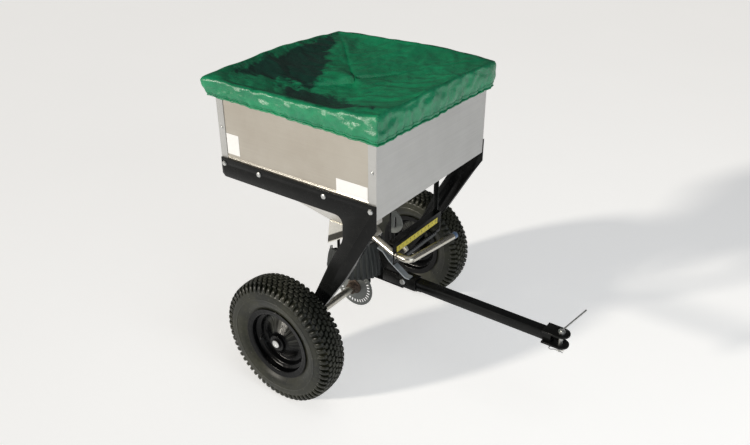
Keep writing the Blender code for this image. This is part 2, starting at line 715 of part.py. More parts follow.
def make_scale_uprights():
    top_gap = 0.004
    for name, y in (("scale_upright_right", UPRIGHT_NEAR_Y), ("scale_upright_left", SCALE_FAR_Y - 0.012)):
        rear = SCALE_X - SCALE_RETURN
        front = rear + UPRIGHT_WIDTH
        low = SCALE_TOP + GAP
        outline = [(rear, low), (front, low), (front, funnel_under(front, y) - top_gap),
                   (rear, funnel_under(rear, y) - top_gap)]
        prism(name, outline, "y", y, y + HANGER_SHEET, MATERIALS["frame_black"])
    centre = (rear + 0.010, HANGER_Z)
    outline = arc_points(centre, HANGER_RADIUS, radians(-90), radians(90), 14)
    plate_y = UPRIGHT_NEAR_Y - GAP
    plate = prism("scale_hanger_plate", outline, "y", plate_y - HANGER_SHEET, plate_y, MATERIALS["zinc"])
    slot = bmesh.new()
    slot_outline = arc_points((centre[0] + 0.014, centre[1] + 0.014), 0.0045, 0, pi, 6)
    slot_outline += arc_points((centre[0] + 0.014, centre[1] - 0.014), 0.0045, pi, 2 * pi, 6)
    add_prism(slot, slot_outline, "y", plate_y - 0.02, plate_y + 0.02)
    cut(plate, slot, "hanger_slot")


def make_axle_group():
    revolved("axle", rod_profile(AXLE_RADIUS, -AXLE_LENGTH / 2, AXLE_LENGTH / 2, 0.0015), "y", (0, 0, 0),
             MATERIALS["zinc"])
    inside = BUSH_BORE
    for side in (-1, 1):
        face = side * (FRAME_OUTER_Y + GAP)
        outer = face + side * BUSH_FLANGE
        inner = side * (FRAME_INNER_Y - 0.012)
        profile = [(inside, inner), (BUSH_RADIUS, inner), (BUSH_RADIUS, face), (BUSH_RADIUS + 0.005, face),
                   (BUSH_RADIUS + 0.005, outer), (inside, outer)]
        revolved(f"axle_bush_{side_name(side)}", profile, "y", (0, 0, 0), MATERIALS["nylon"])
    low = BRACKET_FAR_Y - BRACKET_SHEET - 0.003
    high = BRACKET_FAR_Y + 0.003
    revolved("axle_bush_centre", sleeve_profile(inside, BUSH_RADIUS, low, high), "y", (0, 0, 0),
             MATERIALS["nylon"])


def add_band(builder, a, b):
    """Faces between two rings, one of which may have a whole number of times as many points as the other."""
    if len(a) == len(b):
        add_ring_stack(builder, [a, b], False)
        return
    coarse, fine = sorted((a, b), key=len)
    step = len(fine) // len(coarse)
    half = (step + 1) // 2
    for k, corner in enumerate(coarse):
        after = coarse[(k + 1) % len(coarse)]
        edge = [fine[(k * step + s) % len(fine)] for s in range(step + 1)]
        for s in range(step):
            builder.faces.new((corner if s < half else after, edge[s], edge[s + 1]))
        builder.faces.new((corner, edge[half], after))


def make_tyre(name, centre):
    """Hollow tyre: round walls, and a tread of staggered lugs whose outer rows run down onto the shoulders."""
    height = TYRE_RADIUS - BEAD_RADIUS
    half = TYRE_SECTION / 2
    bead = RIM_WIDTH / 2 - RIM_SHEET - 2 * GAP - 0.003
    base = BEAD_RADIUS + GAP
    wall = [(base, bead), (BEAD_RADIUS + 0.17 * height, bead), (BEAD_RADIUS + 0.26 * height, 0.93 * half),
            (BEAD_RADIUS + 0.50 * height, half), (BEAD_RADIUS + 0.76 * height, 0.96 * half)]
    inside = [(base, bead - TYRE_WALL), (BEAD_RADIUS + 0.74 * height, 0.96 * half - TYRE_WALL)]
    shoulder = ((BEAD_RADIUS + 0.915 * height, 0.90 * half), (BEAD_RADIUS + 0.875 * height, 0.815 * half), 0)
    middle = ((BEAD_RADIUS + 0.981 * height, 0.50 * half), (BEAD_RADIUS + 0.981 * height - TREAD_DEPTH, 0.50 * half), 1)
    crown = ((TYRE_RADIUS, 0.0), (TYRE_RADIUS - TREAD_DEPTH, 0.0), 0)
    builder = bmesh.new()

    def ring(points, side):
        turn = 2 * pi / len(points)
        return [builder.verts.new(Vector(centre) + Vector((r * cos(turn * k), side * along, r * sin(turn * k))))
                for k, (r, along) in enumerate(points)]

    def plain(point, side):
        return ring([point] * WHEEL_SEGMENTS, side)

    def lugs(row, side):
        return ring([row[0] if k % 2 == row[2] else row[1] for k in range(2 * TREAD_LUGS)], side)
    rings = [plain(point, 1) for point in wall]
    rings += [lugs(row, 1) for row in (shoulder, middle, crown)]
    rings += [lugs(row, -1) for row in (middle, shoulder)]
    rings += [plain(point, -1) for point in reversed(wall)]
    rings += [plain(point, -1) for point in inside]
    rings.append(plain((TYRE_RADIUS - TYRE_WALL, 0.0), 1))
    rings += [plain(point, 1) for point in reversed(inside)]
    for a, b in zip(rings, rings[1:] + rings[:1]):
        add_band(builder, a, b)
    return finish_mesh(name, builder, MATERIALS["tyre"], centre, True)


def rim_profile(side):
    """Rim section as (radius, along): outer face from hub to flange, the bead seats, then the inner face."""
    half = RIM_WIDTH / 2
    sheet = RIM_SHEET
    seat = BEAD_RADIUS
    lip = seat + RIM_LIP
    well = seat - 0.014
    hub = BUSH_RADIUS + HUB_WALL
    hub_out = HUB_LENGTH / 2
    bore_radius = BUSH_RADIUS + GAP
    back = 1.2 * sheet
    section = [(bore_radius, hub_out), (hub, hub_out), (hub, WEB_RISE), (WEB_RADIUS, 0.0),
               (well - 0.006, 0.003), (well - sheet, 0.014), (seat - sheet, 0.024), (seat - sheet, half - 0.5 * sheet),
               (lip, half), (lip, half - sheet), (seat, half - sheet - 0.0003), (seat, 0.022), (well, 0.012),
               (well, -0.012), (seat, -0.022), (seat, -half + sheet + 0.0003), (lip, -half + sheet), (lip, -half),
               (seat - sheet, -half + 0.5 * sheet), (seat - sheet, -0.024), (well - sheet, -0.014),
               (well - 0.006, 0.003 - back), (WEB_RADIUS, -back), (hub, WEB_RISE - back),
               (hub, 0.003 - hub_out), (bore_radius, 0.003 - hub_out)]
    return [(radius, side * along) for radius, along in section]


def make_wheel(side):
    name = side_name(side)
    centre = (0, side * WHEEL_Y, 0)
    make_tyre(f"tyre_{name}", centre)
    revolved(f"wheel_rim_{name}", rim_profile(side), "y", centre, MATERIALS["rim_black"],
             WHEEL_SEGMENTS)
    outer = HUB_LENGTH / 2 + 0.001
    inner = FRAME_OUTER_Y + BUSH_FLANGE + 3 * GAP - WHEEL_Y
    profile = sleeve_profile(BUSH_BORE, BUSH_RADIUS, side * inner, side * outer)
    revolved(f"wheel_bush_{name}", profile, "y", centre, MATERIALS["nylon"])


def make_axle_caps():
    """Push-on caps over the axle's ends, outside the wheel hubs."""
    for side in (-1, 1):
        hub_face = side * (WHEEL_Y + HUB_LENGTH / 2 + 0.001 + 2 * GAP)
        end = side * (AXLE_LENGTH / 2 + GAP)
        outer = side * (AXLE_LENGTH / 2 + GAP + 0.0025)
        radius = AXLE_RADIUS + GAP
        profile = [(radius, hub_face), (radius + 0.004, hub_face), (radius + 0.004, outer), (0.0, outer),
                   (0.0, end), (radius, end)]
        revolved(f"axle_cap_{side_name(side)}", profile, "y", (0, 0, 0), MATERIALS["zinc"])


def make_gear():
    centre = (0, GEAR_Y, 0)
    half = GEAR_SHEET / 2
    inner = AXLE_RADIUS + GAP
    profile = [(0.0, -half), (GEAR_RADIUS, -half), (GEAR_RADIUS, half), (0.0, half)]
    gear = revolved("slotted_gear", profile, "y", centre, MATERIALS["zinc"], 64)
    bore(gear, "gear_bore", "y", centre, inner, -0.01, 0.01, ROUND)
    slots = bmesh.new()
    for i in range(GEAR_SLOTS):
        angle = 2 * pi * i / GEAR_SLOTS
        single = bmesh.new()
        add_box(single, -SLOT_WIDTH / 2, SLOT_WIDTH / 2, GEAR_Y - 0.01, GEAR_Y + 0.01,
                SLOT_RING - SLOT_LENGTH / 2, SLOT_RING + SLOT_LENGTH / 2)
        bmesh.ops.rotate(single, verts=single.verts, matrix=Matrix.Rotation(angle, 3, "Y"))
        mesh = bpy.data.meshes.new("slot")
        single.to_mesh(mesh)
        single.free()
        slots.from_mesh(mesh)
        bpy.data.meshes.remove(mesh)
    cut(gear, slots, "gear_slots")
    collar_face = GEAR_Y - half - GAP
    radius = AXLE_RADIUS + COLLAR_WALL
    flange = radius + COLLAR_FLANGE
    profile = [(inner, collar_face), (flange, collar_face), (flange, collar_face - 0.003),
               (radius, collar_face - 0.004), (radius, collar_face - COLLAR_LENGTH),
               (inner, collar_face - COLLAR_LENGTH)]
    revolved("gear_collar", profile, "y", (0, 0, 0), MATERIALS["rusty_iron"])


def make_pinion():
    """Pinion on the spinner shaft; one tooth stands in the gear's top slot at rest."""
    builder = bmesh.new()
    root = PINION_PITCH - 0.0042
    tip = PINION_PITCH + 0.0018
    half = TOOTH_WIDTH / 2
    outline = []
    for i in range(PINION_TEETH):
        centre = -pi / 2 + 2 * pi * i / PINION_TEETH
        step = pi / PINION_TEETH
        across = Vector((-sin(centre), cos(centre)))
        out = Vector((cos(centre), sin(centre)))
        base = sqrt(root * root - half * half)
        for along, offset in ((base, -half), (tip - 0.0008, -half), (tip, -half * 0.5),
                              (tip, half * 0.5), (tip - 0.0008, half), (base, half)):
            outline.append(tuple(out * along + across * offset))
        outline.append((root * cos(centre + step), root * sin(centre + step)))
    add_prism(builder, outline, "z", SLOT_RING - PINION_HEIGHT / 2, SLOT_RING + PINION_HEIGHT / 2)
    pinion = finish_mesh("pinion", builder, MATERIALS["zinc"], (0, 0, 0), False)
    bore(pinion, "pinion_bore", "z", (0, 0, SLOT_RING), SHAFT_RADIUS + GAP, -0.02, 0.02, 20)


def make_spinner():
    revolved("spinner_shaft", rod_profile(SHAFT_RADIUS, SHAFT_BOTTOM, SHAFT_TOP, 0.001), "z", (0, 0, 0),
             MATERIALS["zinc"], 20)
    hub = SHAFT_RADIUS + 0.008
    low = IMPELLER_Z - IMPELLER_SHEET
    profile = [(SHAFT_RADIUS + GAP, low - 0.003), (hub, low - 0.003), (hub, low), (IMPELLER_RADIUS, low),
               (IMPELLER_RADIUS, IMPELLER_Z), (hub, IMPELLER_Z), (hub, IMPELLER_Z + FIN_HEIGHT * 0.6),
               (SHAFT_RADIUS + GAP, IMPELLER_Z + FIN_HEIGHT * 0.6)]
    impeller = revolved("impeller", profile, "z", (0, 0, 0), MATERIALS["stainless"], 24)
    fins = bmesh.new()
    for i in range(FIN_COUNT):
        angle = 2 * pi * i / FIN_COUNT + radians(20)
        single = bmesh.new()
        add_box(single, hub - 0.002, IMPELLER_RADIUS - 0.001, -0.001, 0.001, low + 0.0005, IMPELLER_Z + FIN_HEIGHT)
        bmesh.ops.rotate(single, verts=single.verts, matrix=Matrix.Rotation(angle, 3, "Z"))
        mesh = bpy.data.meshes.new("fin")
        single.to_mesh(mesh)
        single.free()
        fins.from_mesh(mesh)
        bpy.data.meshes.remove(mesh)
    union(impeller, fins, "impeller_fins")
    inside = SHAFT_RADIUS + RUNNING
    outside = SHAFT_RADIUS + 0.0035
    under = BRACKET_TOP - BRACKET_SHEET - 0.001
    bush = [(inside, under), (outside, under), (outside, BRACKET_TOP + GAP), (outside + 0.004, BRACKET_TOP + GAP),
            (outside + 0.004, BRACKET_TOP + 0.0025), (inside, BRACKET_TOP + 0.0025)]
    revolved("spinner_shaft_bush", bush, "z", (0, 0, 0), MATERIALS["brass"], 20)


def make_agitator():
    """Bent wire finger above the outlet, carried by a small hub on the shaft."""
    low = NECK_TOP + 0.002
    profile = sleeve_profile(SHAFT_RADIUS + GAP, SHAFT_RADIUS + 0.005, low, low + 0.016)
    hub = revolved("agitator", profile, "z", (0, 0, 0), MATERIALS["stainless"], 20)
    arms = bmesh.new()
    for sign in (-1, 1):
        points = rounded_path([(sign * 0.009, 0, low + 0.008), (sign * AGITATOR_REACH * 0.7, 0, low + 0.010),
                               (sign * AGITATOR_REACH, sign * 0.008, low + 0.034)], 0.008, 3)
        add_tube(arms, points, AGITATOR_RADIUS, 6)
    union(hub, arms, "agitator_arms")


def make_gear_bracket():
    """Folded bracket: a shelf for the shaft's bush, a far wall down to the axle, a tongue under the drawbar."""
    low = BRACKET_TOP - BRACKET_SHEET
    tongue = SLEEVE_HALF
    shelf = [(BRACKET_REAR_X, BRACKET_NEAR_Y), (0.055, BRACKET_NEAR_Y), (0.075, -tongue),
             (DRAWBAR_BOLT_X, -tongue), (DRAWBAR_BOLT_X, tongue), (0.075, tongue), (0.055, BRACKET_FAR_Y),
             (BRACKET_REAR_X, BRACKET_FAR_Y)]
    bracket = prism("gear_bracket", shelf, "z", low, BRACKET_TOP, MATERIALS["frame_black"])
    wall = bmesh.new()
    lobe = BUSH_RADIUS + 0.007
    outline = [(-0.040, BRACKET_TOP), (-0.040, low - 0.006)]
    outline += arc_points((0, 0), lobe, radians(165), radians(375), 12)
    outline += [(0.040, low - 0.006), (0.040, BRACKET_TOP)]
    add_prism(wall, outline, "y", BRACKET_FAR_Y - BRACKET_SHEET, BRACKET_FAR_Y)
    union(bracket, wall, "bracket_wall")
    half = sqrt(GEAR_RADIUS ** 2 - low ** 2) + 0.006
    slot = bmesh.new()
    add_box(slot, -half, half, GEAR_Y - 0.004, GEAR_Y + 0.004, low - 0.01, BRACKET_TOP + 0.01)
    cut(bracket, slot, "gear_slot")
    bore(bracket, "bracket_axle_hole", "y", (0, BRACKET_FAR_Y, 0), BUSH_RADIUS + GAP, -0.02, 0.02)
    bore(bracket, "bracket_shaft_hole", "z", (0, 0, low), SHAFT_RADIUS + 0.0035 + GAP, -0.01, 0.02, 20)


def make_hanger_posts():
    """Round posts that hang the gear bracket from the outlet's near side."""
    for name, (x, y) in zip(("hanger_post_front", "hanger_post_rear"), POST_PLACES):
        post = revolved(name, rod_profile(POST_RADIUS, BRACKET_TOP + GAP, NECK_BOTTOM - GAP), "z", (x, y, 0),
                        MATERIALS["frame_black"], 12)
        foot = bmesh.new()
        add_box(foot, x - 0.008, x + 0.008, y - 0.006, BRACKET_NEAR_Y + 0.014,
                BRACKET_TOP + GAP, BRACKET_TOP + 0.004)
        union(post, foot, f"{name}_foot")


def curtain_edges(angle):
    """Top and bottom points of the curtain's middle surface at an angle round the shaft."""
    top_z = CURTAIN_HEIGHT + CURTAIN_TILT * cos(angle)
    front = 0.5 + 0.5 * cos(angle + radians(25))
    top_r = CURTAIN_TOP_RADIUS
    bottom_r = CURTAIN_TOP_RADIUS + CURTAIN_FLARE_FRONT + (CURTAIN_FLARE - CURTAIN_FLARE_FRONT) * front
    return top_r, top_z, bottom_r, CURTAIN_BOTTOM


def make_curtain():
    """Hanging rubber curtain with soft folds that deepen towards its free lower edge."""
    builder = bmesh.new()
    columns = CURTAIN_FOLDS * 4
    rows = 2
    layers = []
    for offset in (CURTAIN_THICKNESS / 2, -CURTAIN_THICKNESS / 2):
        grid = []
        for c in range(columns + 1):
            angle = CURTAIN_START + (CURTAIN_END - CURTAIN_START) * c / columns
            top_r, top_z, bottom_r, bottom_z = curtain_edges(angle)
            column = []
            for r in range(rows + 1):
                t = r / rows
                phase = 2 * pi * CURTAIN_FOLDS * c / columns
                fold = CURTAIN_FOLD_DEPTH * sin(phase + 0.9 * sin(3 * angle)) * (0.15 + 0.85 * t)
                radius = top_r + (bottom_r - top_r) * sin(t * pi / 2) + fold + offset
                z = top_z + (bottom_z - top_z) * t
                column.append(builder.verts.new((radius * cos(angle), radius * sin(angle), z)))
            grid.append(column)
        layers.append(grid)
    outer, inner = layers
    for c in range(columns):
        for r in range(rows):
            builder.faces.new((outer[c][r], outer[c][r + 1], outer[c + 1][r + 1], outer[c + 1][r]))
            builder.faces.new((inner[c][r], inner[c + 1][r], inner[c + 1][r + 1], inner[c][r + 1]))
        for r in (0, rows):
            builder.faces.new((outer[c][r], outer[c + 1][r], inner[c + 1][r], inner[c][r]))
    for c in (0, columns):
        for r in range(rows):
            builder.faces.new((outer[c][r], inner[c][r], inner[c][r + 1], outer[c][r + 1]))
    finish_mesh("spinner_curtain", builder, MATERIALS["curtain"], (0, 0, 0), True)


def make_curtain_ring():
    """Flat ring inside the curtain's top edge, with two tabs that reach the hanger posts."""
    builder = bmesh.new()
    steps = 22
    outer_r = CURTAIN_TOP_RADIUS - CURTAIN_THICKNESS / 2 - CURTAIN_FOLD_DEPTH * 0.5 - GAP
    rings = []
    for s in range(steps + 1):
        angle = CURTAIN_START + (CURTAIN_END - CURTAIN_START) * s / steps
        top = CURTAIN_HEIGHT + CURTAIN_TILT * cos(angle)
        rings.append([builder.verts.new((r * cos(angle), r * sin(angle), z)) for r, z in
                      ((outer_r, top), (outer_r - RING_THICKNESS, top),
                       (outer_r - RING_THICKNESS, top - RING_HEIGHT), (outer_r, top - RING_HEIGHT))])
    add_ring_stack(builder, rings, False)
    builder.faces.new(rings[0])
    builder.faces.new(list(reversed(rings[-1])))
    ring = finish_mesh("curtain_ring", builder, MATERIALS["frame_black"], (0, 0, 0), False)
    tabs = bmesh.new()
    for x, y in POST_PLACES:
        angle = atan2(y, x)
        top = CURTAIN_HEIGHT + CURTAIN_TILT * cos(angle) - 0.001
        start = hypot(x, y) + POST_RADIUS + GAP
        single = bmesh.new()
        add_box(single, start, outer_r - 0.001, -0.007, 0.007, top - 0.004, top - 0.001)
        bmesh.ops.rotate(single, verts=single.verts, matrix=Matrix.Rotation(angle, 3, "Z"))
        mesh = bpy.data.meshes.new("tab")
        single.to_mesh(mesh)
        single.free()
        tabs.from_mesh(mesh)
        bpy.data.meshes.remove(mesh)
    union(ring, tabs, "ring_tabs")


def square_tube(name, x0, x1, half, wall, material):
    builder = bmesh.new()
    rings = []
    for x, h in ((x0, half), (x1, half), (x1, half - wall), (x0, half - wall)):
        rings.append([builder.verts.new((x, sy * h, DRAWBAR_Z + sz * h))
                      for sy, sz in ((-1, -1), (1, -1), (1, 1), (-1, 1))])
    add_ring_stack(builder, rings, True)
    return finish_mesh(name, builder, material, (0, 0, 0), False)


def make_drawbar():
    half = DRAWBAR_SIZE / 2
    bar = square_tube("drawbar_tube", DRAWBAR_REAR_X, DRAWBAR_FRONT_X, half, DRAWBAR_WALL,
                      MATERIALS["frame_black"])
    sleeve = square_tube("drawbar_sleeve", SLEEVE_REAR_X, SLEEVE_FRONT_X, SLEEVE_HALF, SLEEVE_WALL,
                         MATERIALS["frame_black"])
    radius = 0.005
    place = (DRAWBAR_BOLT_X, 0, DRAWBAR_Z + 0.002)
    for target, name in ((bar, "tube_bolt_hole"), (sleeve, "sleeve_bolt_hole")):
        bore(target, name, "y", place, radius + GAP, -0.05, 0.05, 16)
    near = -SLEEVE_HALF - GAP
    far = -near
    head = 0.0095
    profile = [(0.0, near - 0.0065), (head * 0.85, near - 0.0065), (head, near - 0.0045), (head, near),
               (radius, near), (radius, far), (head, far), (head, far + 0.007), (0.0, far + 0.007)]
    revolved("drawbar_bolt", profile, "y", place, MATERIALS["zinc"], 12)


def brace_line():
    """Underside of the flat brace from its foot on the sleeve up to its free end, as (x, z)."""
    foot = SLEEVE_TOP + GAP
    return [(BRACE_TOE_X, foot), (BRACE_BEND_X, foot), (BRACE_KNEE_X, foot + BRACE_KNEE_RISE),
            (BRACE_CREST_X, foot + BRACE_CREST_RISE), (BRACE_END_X, foot + BRACE_END_RISE)]


def make_brace():
    line = brace_line()
    t = BRACE_SHEET
    upper = [(line[0][0], line[0][1] + t), (line[1][0] + t * 0.3, line[1][1] + t),
             (line[2][0] + t * 0.62, line[2][1] + t * 0.8), (line[3][0] + t * 0.45, line[3][1] + t),
             (line[4][0], line[4][1] + t)]
    prism("drawbar_brace", line + list(reversed(upper)), "y", BRACE_Y - BRACE_WIDTH / 2, BRACE_Y + BRACE_WIDTH / 2,
          MATERIALS["zinc"])
    drop = GAP * 1.5
    top = [(x, z - drop) for x, z in line[1:]]
    foot = SLEEVE_TOP + GAP
    throat = foot + GUSSET_THROAT_RISE
    top[0] = (GUSSET_FOOT_X, foot + GUSSET_SHEET / 2)
    outline = [(GUSSET_FOOT_X, foot)] + top
    outline += [(BRACE_END_X, line[4][1] - 2 * GUSSET_SHEET), (GUSSET_THROAT_X - GUSSET_THROAT_RISE / 2, foot + BRACE_KNEE_RISE),
                (GUSSET_THROAT_X, throat), (BRACE_CREST_X, foot)]
    prism("drawbar_gusset", outline, "y", BRACE_Y - GUSSET_SHEET / 2, BRACE_Y + GUSSET_SHEET / 2,
          MATERIALS["frame_black"])


def make_clevis():
    half = DRAWBAR_SIZE / 2
    width = CLEVIS_WIDTH / 2
    outline = [(CLEVIS_REAR_X, -width), (CLEVIS_PIN_X, -width)]
    outline += arc_points((CLEVIS_PIN_X, 0), width, radians(-75), radians(75), 10)
    outline += [(CLEVIS_PIN_X, width), (CLEVIS_REAR_X, width)]
    top = DRAWBAR_Z + half + GAP
    low = DRAWBAR_Z - half - GAP
    for name, z0 in (("clevis_plate_upper", top), ("clevis_plate_lower", low - CLEVIS_PLATE)):
        plate = prism(name, outline, "z", z0, z0 + CLEVIS_PLATE, MATERIALS["frame_black"])
        bore(plate, f"{name}_pin_hole", "z", (CLEVIS_PIN_X, 0, z0), PIN_RADIUS + RUNNING, -0.02, 0.03, 24)


def make_hitch_pin():
    top = DRAWBAR_Z + DRAWBAR_SIZE / 2 + GAP + CLEVIS_PLATE
    low = DRAWBAR_Z - DRAWBAR_SIZE / 2 - GAP - CLEVIS_PLATE - PIN_TAIL
    head = top + GAP
    profile = [(0.0, low), (PIN_RADIUS - 0.0015, low), (PIN_RADIUS, low + 0.002), (PIN_RADIUS, head),
               (PIN_HEAD_RADIUS, head), (PIN_HEAD_RADIUS, head + 0.005), (PIN_HEAD_RADIUS * 0.7, head + 0.0065),
               (0.0, head + 0.0065)]
    centre = (CLEVIS_PIN_X, 0, 0)
    pin = revolved("hitch_pin", profile, "z", centre, MATERIALS["zinc"], 16)
    rod = bmesh.new()
    z = head + 0.0065 + PIN_ROD_RADIUS * 0.3
    lean = 0.004 * PIN_ROD_LEAN / PIN_ROD_REACH
    add_tube(rod, [(CLEVIS_PIN_X - lean, -0.004, z - 0.001), (CLEVIS_PIN_X + lean, 0.004, z),
                   (CLEVIS_PIN_X + PIN_ROD_LEAN, PIN_ROD_REACH, z + PIN_ROD_RISE)], PIN_ROD_RADIUS, 10)
    union(pin, rod, "pin_rod")
    clip_z = low + 0.007
    bore(pin, "clip_hole", "x", (CLEVIS_PIN_X, 0, clip_z), CLIP_WIRE + GAP, -0.02, 0.02, 10)
    make_clip(clip_z)


def make_clip(z):
    """R-clip: one straight leg through the pin and one bowed leg round it, joined by a loop."""
    x = CLEVIS_PIN_X
    side = PIN_RADIUS + CLIP_WIRE + GAP
    points = [(x + 0.014, 0, z), (x - 0.014, 0, z)]
    for s in range(9):
        angle = radians(-90 + 250 * s / 8)
        points.append((x - 0.022 - 0.007 * cos(angle), -0.007 - 0.007 * sin(angle), z))
    points += [(x - 0.008, -side * 0.98, z), (x, -side - 0.0012, z), (x + 0.008, -side * 0.98, z),
               (x + 0.014, -side - 0.002, z)]
    tube("hitch_r_clip", points, CLIP_WIRE, 8, MATERIALS["zinc"], (x, 0, z))


def cover_outline(inset, count):
    """Rounded square round the hopper's top, sampled evenly by angle, as (x, y, place along the edge)."""
    half_x = HOPPER_HALF_X + COVER_OVERHANG - inset
    half_y = HOPPER_HALF_Y + COVER_OVERHANG - inset
    corner = max(COVER_CORNER - inset, 0.006)
    quarter = pi / 2
    per_side = count // 4
    points = []
    for s, (sx, sy) in enumerate(((1, -1), (1, 1), (-1, 1), (-1, -1))):
        cx = sx * (half_x - corner)
        cy = sy * (half_y - corner)
        start = -quarter + s * quarter
        arc = [(cx + corner * cos(start + quarter * a / 4), cy + corner * sin(start + quarter * a / 4))
               for a in range(5)]
        nx, ny = ((1, 1), (-1, 1), (-1, -1), (1, -1))[s]
        end = (nx * (half_x - corner), ny * (half_y - corner))
        nxt = (end[0] + corner * cos(start + quarter), end[1] + corner * sin(start + quarter))
        points += arc
        straight = per_side - 5
        for k in range(1, straight + 1):
            t = k / (straight + 1)
            points.append((arc[-1][0] + (nxt[0] - arc[-1][0]) * t, arc[-1][1] + (nxt[1] - arc[-1][1]) * t))
    return points


def make_cover():
    """Elasticated cover: a sagging top, a rolled rim and a gathered skirt, as one thin closed shell."""
    builder = bmesh.new()
    count = 56
    shrink = (1.0, 1.0, 0.985, 0.80, 0.55, 0.28)
    heights = (COVER_HEM_Z, COVER_RIM_Z - 0.010, COVER_RIM_Z, COVER_RIM_Z - 0.25 * COVER_SAG,
               COVER_RIM_Z - 0.75 * COVER_SAG, COVER_RIM_Z - COVER_SAG)
    layers = []
    for inset, drop in ((0.0, 0.0), (COVER_SHEET, COVER_SHEET)):
        outline = cover_outline(inset, count)
        rings = []
        for level, (scale, z) in enumerate(zip(shrink, heights)):
            ring = []
            for k, (x, y) in enumerate(outline):
                phase = 2 * pi * COVER_WAVES * k / len(outline)
                depth = COVER_WAVE_DEPTH * (1.0 if level == 0 else 0.3 if level == 1 else 0.0)
                out = 1.0 + depth * sin(phase + 1.7 * sin(5 * phase / COVER_WAVES)) / HOPPER_HALF_X
                wrinkle = 0.0035 * sin(9 * x + 4 * y * y * 9) * cos(11 * y - 3 * x) if level > 2 else 0.0
                below = drop if level > 0 else 0.0
                lift = 0.004 * sin(3 * phase / COVER_WAVES) if level == 0 else 0.0
                ring.append(builder.verts.new((HOPPER_CENTRE_X + x * scale * out, y * scale * out,
                                               z - below + wrinkle + lift)))
            rings.append(ring)
        centre_z = heights[-1] - drop
        pole = builder.verts.new((HOPPER_CENTRE_X, 0, centre_z))
        layers.append((rings, pole))
    for rings, pole in layers:
        add_ring_stack(builder, rings, False)
        last = rings[-1]
        for k in range(len(last)):
            builder.faces.new((last[k], last[(k + 1) % len(last)], pole))
    outer = layers[0][0][0]
    inner = layers[1][0][0]
    for k in range(len(outer)):
        n = (k + 1) % len(outer)
        builder.faces.new((outer[k], inner[k], inner[n], outer[n]))
    finish_mesh("hopper_cover", builder, MATERIALS["cover"], (0, 0, 0), True)


def build():
    for side in (-1, 1):
        make_side_frame(side)
        for index, x in enumerate(BAND_BOLT_XS):
            make_band_bolt(side, index, x)
        make_side_panel(side)
        make_wheel(side)
    make_end_panel("hopper_front_panel", 1)
    make_end_panel("hopper_rear_panel", -1)
    make_funnel()
    make_hood()
    make_metering_plate()
    make_shutter_blade()
    make_pivot_support()
    make_pivot_bolt()
    make_rate_lever()
    make_lever_screw()
    make_scale_bracket()
    make_scale_strip()
    make_notched_rail()
    make_scale_uprights()
    make_axle_group()
    make_axle_caps()
    make_gear()
    make_pinion()
    make_spinner()
    make_agitator()
    make_gear_bracket()
    make_hanger_posts()
    make_curtain()
    make_curtain_ring()
    make_drawbar()
    make_brace()
    make_clevis()
    make_hitch_pin()
    make_cover()


def footprint_centre_x():
    """Middle of the model's length, taken over every piece that is kept."""
    xs = [obj.location.x + vertex.co.x for obj in bpy.data.objects
          if obj.type == "MESH" and not obj.hide_render for vertex in obj.data.vertices]
    return (min(xs) + max(xs)) / 2


clear_scene()
ROOT = bpy.data.objects.new("spreader_root", None)
bpy.context.scene.collection.objects.link(ROOT)
MATERIALS = make_materials()
build()
ROOT.location = (-footprint_centre_x(), 0, TYRE_RADIUS)
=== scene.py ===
from math import copysign, cos, hypot, pi, radians, sin, tan

import bmesh
import bpy
from mathutils import Matrix, Vector, noise


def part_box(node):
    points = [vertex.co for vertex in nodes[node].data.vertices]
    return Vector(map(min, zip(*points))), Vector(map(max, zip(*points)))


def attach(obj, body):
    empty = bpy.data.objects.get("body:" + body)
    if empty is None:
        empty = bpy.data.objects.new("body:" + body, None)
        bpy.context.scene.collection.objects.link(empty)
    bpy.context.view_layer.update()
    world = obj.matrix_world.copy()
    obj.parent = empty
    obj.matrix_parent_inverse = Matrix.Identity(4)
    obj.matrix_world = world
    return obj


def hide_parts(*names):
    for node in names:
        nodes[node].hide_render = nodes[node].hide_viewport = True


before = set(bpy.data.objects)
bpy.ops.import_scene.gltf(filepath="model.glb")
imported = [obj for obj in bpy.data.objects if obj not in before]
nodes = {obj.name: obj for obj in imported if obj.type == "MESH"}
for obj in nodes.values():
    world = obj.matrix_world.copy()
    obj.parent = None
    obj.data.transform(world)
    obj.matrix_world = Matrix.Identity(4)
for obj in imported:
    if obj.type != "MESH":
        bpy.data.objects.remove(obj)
scene = bpy.context.scene
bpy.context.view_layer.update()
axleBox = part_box("axle")
rootX = (axleBox[0][0] + axleBox[1][0]) / 2  # everything below is drawn with x = 0 at the axle
axleZ = (axleBox[0][2] + axleBox[1][2]) / 2
toRoot = Vector((rootX, 0, 0))
print("frame loaded")


# A socket of a node tree, which can stand in an expression.
class Wire:
    def __init__(self, book, socket):
        self.book, self.socket = book, socket

    def other(self, key):  # another output of the same node
        return Wire(self.book, self.socket.node.outputs[key])


# Lets a wire stand on either side of a sign.
def overload(sign, operation):
    setattr(Wire, f"__{sign}__", lambda self, other: self.book.math(operation, self, other))
    setattr(Wire, f"__r{sign}__", lambda self, other: self.book.math(operation, other, self))


for sign, operation in (("add", "ADD"), ("sub", "SUBTRACT"), ("mul", "MULTIPLY"), ("truediv", "DIVIDE"),
                        ("pow", "POWER")):
    overload(sign, operation)


